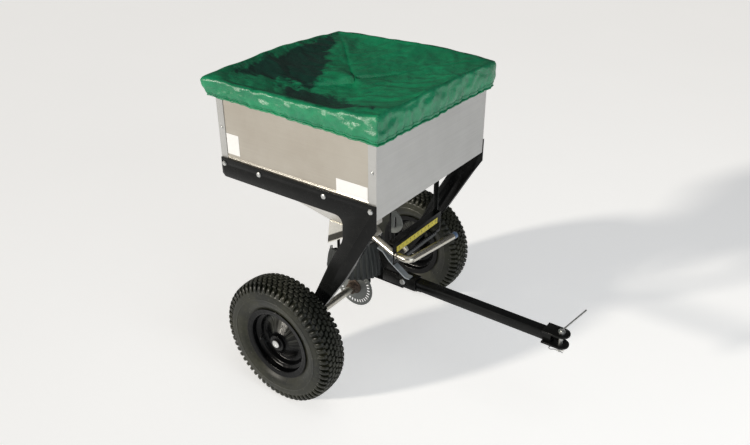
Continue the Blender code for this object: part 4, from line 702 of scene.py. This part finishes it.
def makeRim(side):
    near, right, body = sides[side]
    profile = [(r, side * t) for r, t in smoothLoop(rimOuter, 3)]
    rim = made(near + "Rim", 45, lathe, profile, wheelCentre(side), wheelSet["rimSegments"])
    handOver(rim, body, "rim", "rim_black", "wheel_rim_" + right)
    s = valveSet  # the valve stands in the barrel
    angle = radians(s["turn"][side])
    out, along = Vector((cos(angle), 0, sin(angle))), Vector((0, side, 0))
    start = Vector(wheelCentre(side)) + out * s["radius"] + along * s["along"]
    reach = (out * s["lean"][0] + along * s["lean"][1]).normalized()
    path, taper = [start + reach * d for d, _ in s["stops"]], [r for _, r in s["stops"]]
    handOver(made(near + "Rim_valve", 35, sweep, path, s["size"], 16, taper), body, "valve", "rim_black")


def makeAxleEnd(side):
    near, right, _ = sides[side]
    for name, profile, finish in (("_washer", axleWasher, ("rim", "rim_black", "axle_cap_" + right)),
                                  ("", axleEnd, ("brightEnd", "zinc"))):
        profile = [(r, side * t) for r, t in profile]
        end = made(near + "AxleEnd" + name, 30, lathe, profile, wheelCentre(side), 48)
        handOver(end, "drive_wheel", *finish)


for make in (makeTyre, makeRim, makeAxleEnd):
    for side in sides:
        make(side)
print("wheels made")


leverSet = {"pivot": (-0.22, 0.031), "angle": -8, "radius": 0.011, "start": 0.293, "crank": 0.392,
            "reach": 0.451, "height": 0.3925, "startHeight": 0.4224, "bend": 0.02, "grip": 0.216,
            "plug": [(0.0003, 1.03), (0.012, 1.035), (0.0145, 0.98), (0.0158, 0.86), (0.016, 0.6)]}


def leverPoint(reach, z, across=0):
    a = radians(leverSet["angle"])
    return Vector((leverSet["pivot"][0] + reach * cos(a) - across * sin(a),
                   leverSet["pivot"][1] + reach * sin(a) + across * cos(a), z))


def makeLever():
    s = leverSet
    corners = [leverPoint(s["start"], s["startHeight"]), leverPoint(s["crank"], s["height"]),
               leverPoint(s["reach"], s["height"]), leverPoint(s["reach"], s["height"], s["grip"])]
    tube = made("leverTube", 50, sweep, bentPath(corners, s["bend"], 12), s["radius"], 32)
    handOver(tube, "shutter_lever", "tube", "stainless", "rate_lever")
    out = (corners[-1] - corners[-2]).normalized()
    path, taper = [corners[-1] + out * d for d, _ in s["plug"]], [r for _, r in s["plug"]]
    plug = made("leverPlug", 50, sweep, path, s["radius"], 32, taper)
    handOver(plug, "shutter_lever", "plug", "plug", "lever_end_plug")


makeLever()
print("lever made")


curtainSet = {"start": -150, "end": 58, "thickness": 0.0018, "bottom": 0.2865, "top": 0.376, "tilt": 0.026,
              "topRadius": 0.086, "flare": 0.017, "flareFront": 0.009, "flareTurn": 25, "folds": 22,
              "depth": 0.0026, "hemWave": 0.0008, "columns": 352, "rows": 26,
              "crumples": ((0.0009, 14, 3.5, 2), (0.0005, 40, 11, 5))}  # size, round, down, layer


def curtainPoint(c, r, offset):
    s = curtainSet
    u, t = c / s["columns"], r / s["rows"]
    angle = radians(s["start"] + (s["end"] - s["start"]) * u)
    front = 0.5 + 0.5 * cos(angle + radians(s["flareTurn"]))
    topZ = s["top"] + s["tilt"] * cos(angle)
    reach = s["flareFront"] + (s["flare"] - s["flareFront"]) * front
    phase = 2 * pi * s["folds"] * u
    wander = 0.9 * sin(3 * angle) + 0.5 * t * sin(5 * angle + 1)  # the folds are uneven
    wave = sin(phase + wander)
    fold = s["depth"] * (0.12 + 0.88 * t ** 0.8) * (wave + 0.22 * sin(2 * (phase + wander) + 0.7))
    crumple = sum(size * noise.noise(Vector((angle * across, t * down, layer)))
                  for size, across, down, layer in s["crumples"])
    radius = s["topRadius"] + reach * sin(t * pi / 2) + fold + crumple + offset
    hem = s["hemWave"] * sin(phase * 0.5 + 1.3) * t
    return radius * cos(angle), radius * sin(angle), topZ + (s["bottom"] - topZ) * t + hem


def makeCurtain():
    s = curtainSet
    down = [(r, s["thickness"] / 2) for r in range(s["rows"] + 1)]
    loop = down + [(r, -offset) for r, offset in reversed(down)]  # the outer skin down, the inner one up
    work = bmesh.new()
    skin(work, [[work.verts.new(curtainPoint(c, r, offset)) for r, offset in loop]
                for c in range(s["columns"] + 1)])
    cloth = newPiece("spinnerCurtain", work, 60)
    handOver(cloth, "chassis", "curtain", "curtain", "spinner_curtain")


makeCurtain()
print("curtain hung")


# Lists of four go round: near front, far front, far rear, near rear; "bow" is front, far, rear, near.
coverSet = {"half": 0.3, "cells": 104, "skirtRows": 12, "thickness": 0.0012, "roll": 0.011, "foot": 0.299,
            "hem": (0.883, 0.88, 0.888, 0.898), "crest": (0.958, 0.957, 0.962, 0.953),
            "bow": (0.966, 0.973, 0.972, 0.949), "middle": 0.95, "sag": 0.046, "lowest": (-0.24, -0.38),
            "cornerPull": (-0.009, -0.012, 0.001), "cornerReach": 0.16, "frames": 34,
            "gravity": (-2.2, -2.6, -9)}  # leans the sag towards the near rear corner
drapeSet = {"quality": 6, "mass": 0.001, "tension_stiffness": 40, "compression_stiffness": 25,
            "shear_stiffness": 8, "bending_stiffness": 0.02, "air_damping": 2, "vertex_group_mass": "held",
            "shrink_min": -0.019}
rimSet = {"top": 0.9462, "outer": 0.2925, "inner": 0.281, "ledge": 0.2905, "ledgeDepth": 0.012}  # the hopper's
hemSet = {"radius": 0.0026, "out": 0.0006, "stitchesOut": 0.0005, "Spacing": 0.006, "Length": 0.0036,
          "Thickness": 0.0005}


def ripple(spot, scale, layer):
    return noise.noise(Vector((spot[0] * scale, spot[1] * scale, layer)))


# A value given at the four corners, spread over the square.
def coverAlong(corners, u, v):
    a, b, c, d = corners
    return (a * (1 + u) + d * (1 - u)) / 2 * (1 - v) / 2 + (b * (1 + u) + c * (1 - u)) / 2 * (1 + v) / 2


# Height of the cover's rim: low at its corners, bowed up between them.
def coverCrest(u, v):
    front, far, rear, near = coverSet["bow"]
    corner = height = coverAlong(coverSet["crest"], u, v)
    for bow, side, run in ((front, u, v), (far, v, u), (rear, -u, v), (near, -v, u)):
        if side > 0.999:
            height = corner + (bow - corner) * (1 - run * run) ** 0.8
    return height


# A point of the cover's top as it is put on: a sagging middle inside a rolled rim.
def topSpot(i, j):
    s = coverSet
    n, half, roll = s["cells"], s["half"], s["roll"]
    u, v = 2 * i / n - 1, 2 * j / n - 1
    ring, span = min(i, j, n - i, n - j), max(abs(u), abs(v))
    crest = coverCrest(u / span, v / span) if span else s["middle"]
    a, b = ((t - low) / (1 - low) if t > low else (low - t) / (1 + low) for t, low in zip((u, v), s["lowest"]))
    reach = hypot((a ** 5 + b ** 5) ** 0.2, 0.22) / hypot(1, 0.22)
    x, y, z = u * half, v * half, crest - s["sag"] * max(0, 1 - reach ** 1.1)
    if ring <= 2:
        a = pi / 2 * (1 - ring / 2)
        edge = (half - roll) + roll * sin(a)
        x, y, z = u / span * edge, v / span * edge, crest - roll * (1 - cos(a))
    nudge = 0.0016 * ripple((x, y), 31, 6) if ring > 2 else 0
    if ring <= 1:
        wave = 0.006 * ripple((x, y), 7, 2.5) + 0.0035 * ripple((x, y), 19, 8.5)
        out = 1 + 0.9 * wave / half
        x, y, z = x * out, y * out, z + 0.55 * wave
    pull = max(0, 1 - hypot(u + 1, v + 1) / s["cornerReach"])  # the near rear corner stands out
    x, y, z = (value + by * pull for value, by in zip((x, y, z), s["cornerPull"]))
    return coverMiddle + x, y, z + nudge


# A point of the skirt, t of the way from the rim to the hem.
def skirtSpot(k, i, j, rim, t):
    s = coverSet
    n = s["cells"]
    u, v = 2 * i / n - 1, 2 * j / n - 1
    out = Vector(((i == n) - (i == 0), (j == n) - (j == 0), 0)).normalized()
    hem = coverAlong(s["hem"], u, v) + 0.003 * ripple(rim, 16, 3.5)
    foot = Vector((coverMiddle + u * s["foot"], v * s["foot"], hem))
    pleat = sin(k * 0.83 + 3 * ripple(rim, 12, 1))
    spot = rim.lerp(foot, t) + out * (0.0016 * pleat * t * t + 0.0035 * sin(pi * t))
    return spot + out * 0.003 * ripple(rim, 22, t * 3)


# The cover as it is put on, the points that hold it, and the two rows that the hem follows.
def coverShape():
    n, rows = coverSet["cells"], coverSet["skirtRows"]
    work = bmesh.new()
    grid = {(i, j): work.verts.new(topSpot(i, j)) for i in range(n + 1) for j in range(n + 1)}
    held = [vert for (i, j), vert in grid.items() if min(i, j, n - i, n - j) <= 1]
    for i in range(n):
        for j in range(n):
            work.faces.new((grid[i, j], grid[i + 1, j], grid[i + 1, j + 1], grid[i, j + 1]))
    border = [(n, j) for j in range(n)] + [(i, n) for i in range(n, 0, -1)]
    border += [(0, j) for j in range(n, 0, -1)] + [(i, 0) for i in range(n)]
    rings = [[grid[key] for key in border]]
    rim = [vert.co.copy() for vert in rings[0]]
    for r in range(1, rows + 1):
        ring = [work.verts.new(skirtSpot(k, i, j, rim[k], r / rows)) for k, (i, j) in enumerate(border)]
        for k in range(len(border)):
            m = (k + 1) % len(border)
            work.faces.new((rings[-1][k], ring[k], ring[m], rings[-1][m]))
        rings.append(ring)
    work.verts.index_update()
    return work, *([vert.index for vert in verts] for verts in (held + rings[-1], rings[-1], rings[-3]))


# Keeps the cloth off the hopper's rim and walls.
def keepOutside(mesh):
    s = rimSet
    for vert in mesh.vertices:
        x, y, z = vert.co.x - coverMiddle, vert.co.y, vert.co.z
        far = max(abs(x), abs(y))
        if z < s["top"] and s["inner"] < far < s["outer"]:
            if z > s["top"] - s["ledgeDepth"] and far < s["ledge"]:
                vert.co.z = s["top"]
            elif abs(x) > abs(y):
                vert.co.x = coverMiddle + copysign(s["outer"], x)
            else:
                vert.co.y = copysign(s["outer"], y)


def drape(cover, held):
    cover.vertex_groups.new(name="held").add(held, 1, "REPLACE")
    gravity = scene.gravity.copy()
    scene.gravity = coverSet["gravity"]
    cloth = cover.modifiers.new("drape", "CLOTH")
    for key, value in drapeSet.items():
        setattr(cloth.settings, key, value)
    cloth.collision_settings.use_collision = False
    cloth.point_cache.frame_start, cloth.point_cache.frame_end = 1, coverSet["frames"]
    for step in range(1, coverSet["frames"] + 1):
        scene.frame_set(step)
    bakeModifiers(cover)
    cover.vertex_groups.clear()
    scene.frame_set(1)
    scene.gravity = gravity


def makeCover():
    work, held, *rows = coverShape()
    bmesh.ops.recalc_face_normals(work, faces=work.faces)
    mesh = bpy.data.meshes.new("hopperCover")
    work.to_mesh(mesh)
    work.free()
    cover = linked("hopperCover", mesh)
    drape(cover, held)
    keepOutside(cover.data)
    hemLine, seamLine = ([cover.data.vertices[index].co.copy() for index in row] for row in rows)
    cover.data.shade_smooth()
    wall = cover.modifiers.new("cloth", "SOLIDIFY")
    wall.thickness, wall.offset = coverSet["thickness"], -1
    bakeModifiers(cover)
    handOver(cover, "cover", "cover", "cover", "hopper_cover")
    makeHem(hemLine, seamLine)


# The elastic hem: a gathered roll along the lower edge, held by a row of stitches above it.
def makeHem(line, seam):
    s = hemSet

    def moved(spot, out):
        return spot + ((spot - Vector((coverMiddle, 0, 0))) * Vector((1, 1, 0))).normalized() * out
    path = [moved(spot, s["out"]) for spot in line]
    size = [1 + 0.22 * sin(k * 1.9) + 0.15 * sin(k * 0.71) for k in range(len(path))]
    roll = made("coverHem", 60, sweep, path + path[:1], s["radius"], 10, size + size[:1])
    handOver(roll, "cover", "cover", "cover")
    work = bmesh.new()
    spots = [work.verts.new(moved(spot, s["stitchesOut"])) for spot in seam]
    for a, b in zip(spots, spots[1:] + spots[:1]):
        work.edges.new((a, b))
    stitches = newPiece("coverStitches", work, 0)
    growOn(stitches, trees["stitch"], {**s, "Finish": paint["thread"]})
    handOver(stitches, "cover", "thread", "cover")


makeCover()
print("cover laid")


bigScrew = {"Radius": 0.0072, "Height": 0.0042, "Washer": 0.0078}
smallScrew = {"Radius": 0.004, "Height": 0.0022, "Washer": 0.0046}
screwSet = {  # distance from the middle, (x, z) of each screw, sizes
    "BandScrews": (0.2921, [(-0.128, 0.688), (0.114, 0.688)], bigScrew),
    "FlangeScrews": (0.2868, [(0.275, 0.797), (-0.2705, 0.8005)], smallScrew),
    "EndScrews": (0.2921, [(-0.269, 0.688), (0.273, 0.688)], bigScrew),
}
seamSet = {"face": 0.2852, "run": (-0.284, 0, 0.27), "beads": ((0.003, 0.0011), (0.0068, 0.0007))}
labelSet = {"face": (-0.28535, -0.28505), "spots": ((-0.256, -0.207, 0.722, 0.786),
                                                    (0.154, 0.259, 0.711, 0.752))}
scaleSet = {"face": 0.1805, "near": -0.029, "length": 0.237, "low": 0.407, "numbers": 11, "margin": 0.012,
            "half": 0.0005, "foot": 0.0008, "tall": (0.0055, 0.0035), "sunk": 0.0001, "proud": 0.00025,
            "figure": 0.0115, "figureFoot": 0.0082, "figureThick": 0.00012}


def makeScrews():
    for side, (near, _, _) in sides.items():
        for kind, (face, spots, sizes) in screwSet.items():
            mesh = bpy.data.meshes.new(near + kind)
            mesh.from_pydata([(x, side * face, z) for x, z in spots], [], [])
            heads = linked(near + kind, mesh)
            turn = (-side * pi / 2, 0, 0)
            growOn(heads, trees["screw"], {"Turn": turn, "Finish": paint["zinc"], **sizes})
            smoothed(heads, 30)
            handOver(heads, "chassis", "zinc", "zinc")


# The fold that shows as a fine bright line above each side band.
def makeSeams():
    for side, (near, right, _) in sides.items():
        work = bmesh.new()
        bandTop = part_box("side_frame_" + right)[1][2]
        for rise, radius in seamSet["beads"]:
            sweep(work, [(x, side * seamSet["face"], bandTop + rise) for x in seamSet["run"]], radius, 8)
        handOver(newPiece(near + "Seam", work), "chassis", "foldedSheet", "stainless")


def makeLabels():
    work = bmesh.new()
    back, front = labelSet["face"]
    for x0, x1, z0, z1 in labelSet["spots"]:
        block(work, (x0, back, z0), (x1, front, z1))
    handOver(newPiece("sideLabels", work, 0), "chassis", "label", "stainless")


def makeScaleMarks():
    s = scaleSet
    work = bmesh.new()
    step = (s["length"] - 2 * s["margin"]) / (s["numbers"] * 2 - 2)
    foot = s["low"] + s["foot"]
    for i in range(s["numbers"] * 2 - 1):
        y = s["near"] + s["margin"] + i * step
        block(work, (s["face"] - s["sunk"], y - s["half"], foot),
              (s["face"] + s["proud"], y + s["half"], foot + s["tall"][i % 2]))
    handOver(newPiece("scaleTicks", work, 0), "chassis", "ink", "scale")
    work = bmesh.new()
    for i in range(s["numbers"]):
        data = bpy.data.curves.new("figure", "FONT")
        data.body, data.align_x = str(i), "CENTER"
        data.size, data.extrude = s["figure"], s["figureThick"]
        figure = linked("figure", data)
        graph = bpy.context.evaluated_depsgraph_get()
        mesh = bpy.data.meshes.new_from_object(figure.evaluated_get(graph))
        y = s["near"] + s["margin"] + i * 2 * step
        mesh.transform(Matrix(((0, 0, 1, s["face"] + s["sunk"]), (1, 0, 0, y),
                               (0, 1, 0, s["low"] + s["figureFoot"]), (0, 0, 0, 1))))
        work.from_mesh(mesh)
        bpy.data.objects.remove(figure)
    handOver(newPiece("scaleFigures", work, 0), "chassis", "ink", "scale")


makeScrews()
makeSeams()
makeLabels()
makeScaleMarks()
print("screws, labels and scale made")


kept = {  # CAD nodes that keep their shape
    "black": ["curtain_ring", "gear_bracket", "hanger_post_front", "hanger_post_rear", "lever_pivot_support"],
    "foldedSheet": ["hopper_funnel", "metering_plate", "shutter_blade", "impeller"],
    "hoodSheet": ["spreader_hood"],
    "sideSheet": ["hopper_right_panel", "hopper_left_panel"],
    "frontSheet": ["hopper_front_panel", "hopper_rear_panel"],
    "tube": ["agitator", "axle"],
    "zinc": ["lever_pivot_bolt", "pinion", "spinner_shaft", "drawbar_bolt", "hitch_pin", "hitch_r_clip",
             "frame_bolt_right_1", "frame_bolt_right_2", "frame_bolt_left_1", "frame_bolt_left_2"],
    "galvanised": ["slotted_gear", "scale_hanger_plate"],
    "darkRail": ["notched_rail", "lever_lock_screw"],
    "paintedLitBrace": ["drawbar_brace"],
    "rust": ["gear_collar"],
    "nylon": ["axle_bush_right", "axle_bush_left", "axle_bush_centre"],
    "bushPlastic": ["wheel_bush_right", "wheel_bush_left"],
    "bronze": ["spinner_shaft_bush"],
    "scale": ["scale_strip"],
}
brokenEdges = {  # black pieces, and how far their edges are broken
    "side_frame_right": 0.0012, "side_frame_left": 0.0012, "scale_bracket": 0.0008,
    "scale_upright_right": 0.0006, "scale_upright_left": 0.0006, "drawbar_tube": 0.0026,
    "drawbar_sleeve": 0.003, "drawbar_gusset": 0.0008, "clevis_plate_upper": 0.001,
    "clevis_plate_lower": 0.001}
for look, names in kept.items():
    for name in names:
        nodes[name].data.materials.clear()
        nodes[name].data.materials.append(paint[look])
for name, width in brokenEdges.items():
    softened(name, width)
print("nodes dressed")


cameraSet = {"place": (1.2944, -1.6757, 1.5893), "azimuth": 36.05, "elevation": 28.456, "roll": -0.15,
             "lens": 35.594, "sensor": 36, "near": 0.05, "far": 60}
sunSet = {"source": (-0.44, -0.82, 0.31), "spread": 5, "strength": 2.75, "colour": (1, 0.94, 0.84)}
panelSet = {
    "skyTop": {"place": (1.6, -0.4, 4.6), "aim": (0, 0, 0.5), "size": 2.6, "power": 17,
               "colour": (0.93, 0.97, 1)},
    "frontFill": {"place": (3.4, -1.2, 1.7), "aim": (0.2, 0, 0.5), "size": 2.4, "power": 38,
                  "colour": (0.9, 0.96, 1)},
}
stageSet = {"half": 14, "glow": 0.45, "sky": (1, 0.995, 0.985, 1), "skyDim": 0.1, "skySeen": 0.76}


def makeLamp(name, kind, heading, power, colour):
    data = bpy.data.lights.new(name, kind)
    data.energy, data.color = power, colour
    lamp = linked(name, data)
    lamp.rotation_mode = "QUATERNION"
    lamp.rotation_quaternion = Vector(heading).to_track_quat("-Z", "Y")
    return lamp


def makeStage():
    s = stageSet
    finish = Finish("studioFloor", Roughness=0.9, Specular=0.1, Emission=(1, 1, 1))
    finish.feed("Emission Strength", s["glow"])
    finish.feed("Base", finish.mix(finish.noise(1.2, 2), (0.86, 0.86, 0.86), (0.9, 0.9, 0.9)))
    work = bmesh.new()
    corners = ((-1, -1), (1, -1), (1, 1), (-1, 1))
    work.faces.new([work.verts.new((x * s["half"], y * s["half"], 0)) for x, y in corners])
    floor = newPiece("studioFloor", work, 0)
    floor.data.materials.append(finish.material)
    world = bpy.data.worlds.new("studio")
    world.use_nodes = True
    sky = world.node_tree.nodes["Background"]
    sky.inputs["Color"].default_value = s["sky"]
    seen = Book(world.node_tree).add("ShaderNodeLightPath")  # pale only where the camera looks past the floor
    world.node_tree.links.new((seen * s["skySeen"] + s["skyDim"]).socket, sky.inputs["Strength"])
    scene.world = world
    scene.view_settings.view_transform = "Standard"
    sun = makeLamp("keySun", "SUN", -Vector(sunSet["source"]), sunSet["strength"], sunSet["colour"])
    sun.data.angle = radians(sunSet["spread"])
    for name, p in panelSet.items():
        lamp = makeLamp(name, "AREA", Vector(p["aim"]) - Vector(p["place"]), p["power"], p["colour"])
        lamp.data.shape, lamp.data.size = "SQUARE", p["size"]
        lamp.location = Vector(p["place"]) + toRoot


def makeCamera():
    s = cameraSet
    a, e, r = (radians(s[k]) for k in ("azimuth", "elevation", "roll"))
    back = Vector((sin(a) * cos(e), -cos(a) * cos(e), sin(e)))
    right = Vector((0, 0, 1)).cross(back).normalized()
    up = back.cross(right)
    right, up = right * cos(r) + up * sin(r), up * cos(r) - right * sin(r)
    data = bpy.data.cameras.new("photoCamera")
    data.lens, data.sensor_width = s["lens"], s["sensor"]
    data.clip_start, data.clip_end = s["near"], s["far"]
    cam = linked("photoCamera", data)
    turn = Matrix((right, up, back)).transposed().to_4x4()
    cam.matrix_world = Matrix.Translation(Vector(s["place"]) + toRoot) @ turn
    scene.camera = cam


makeStage()
makeCamera()
print("stage lit")
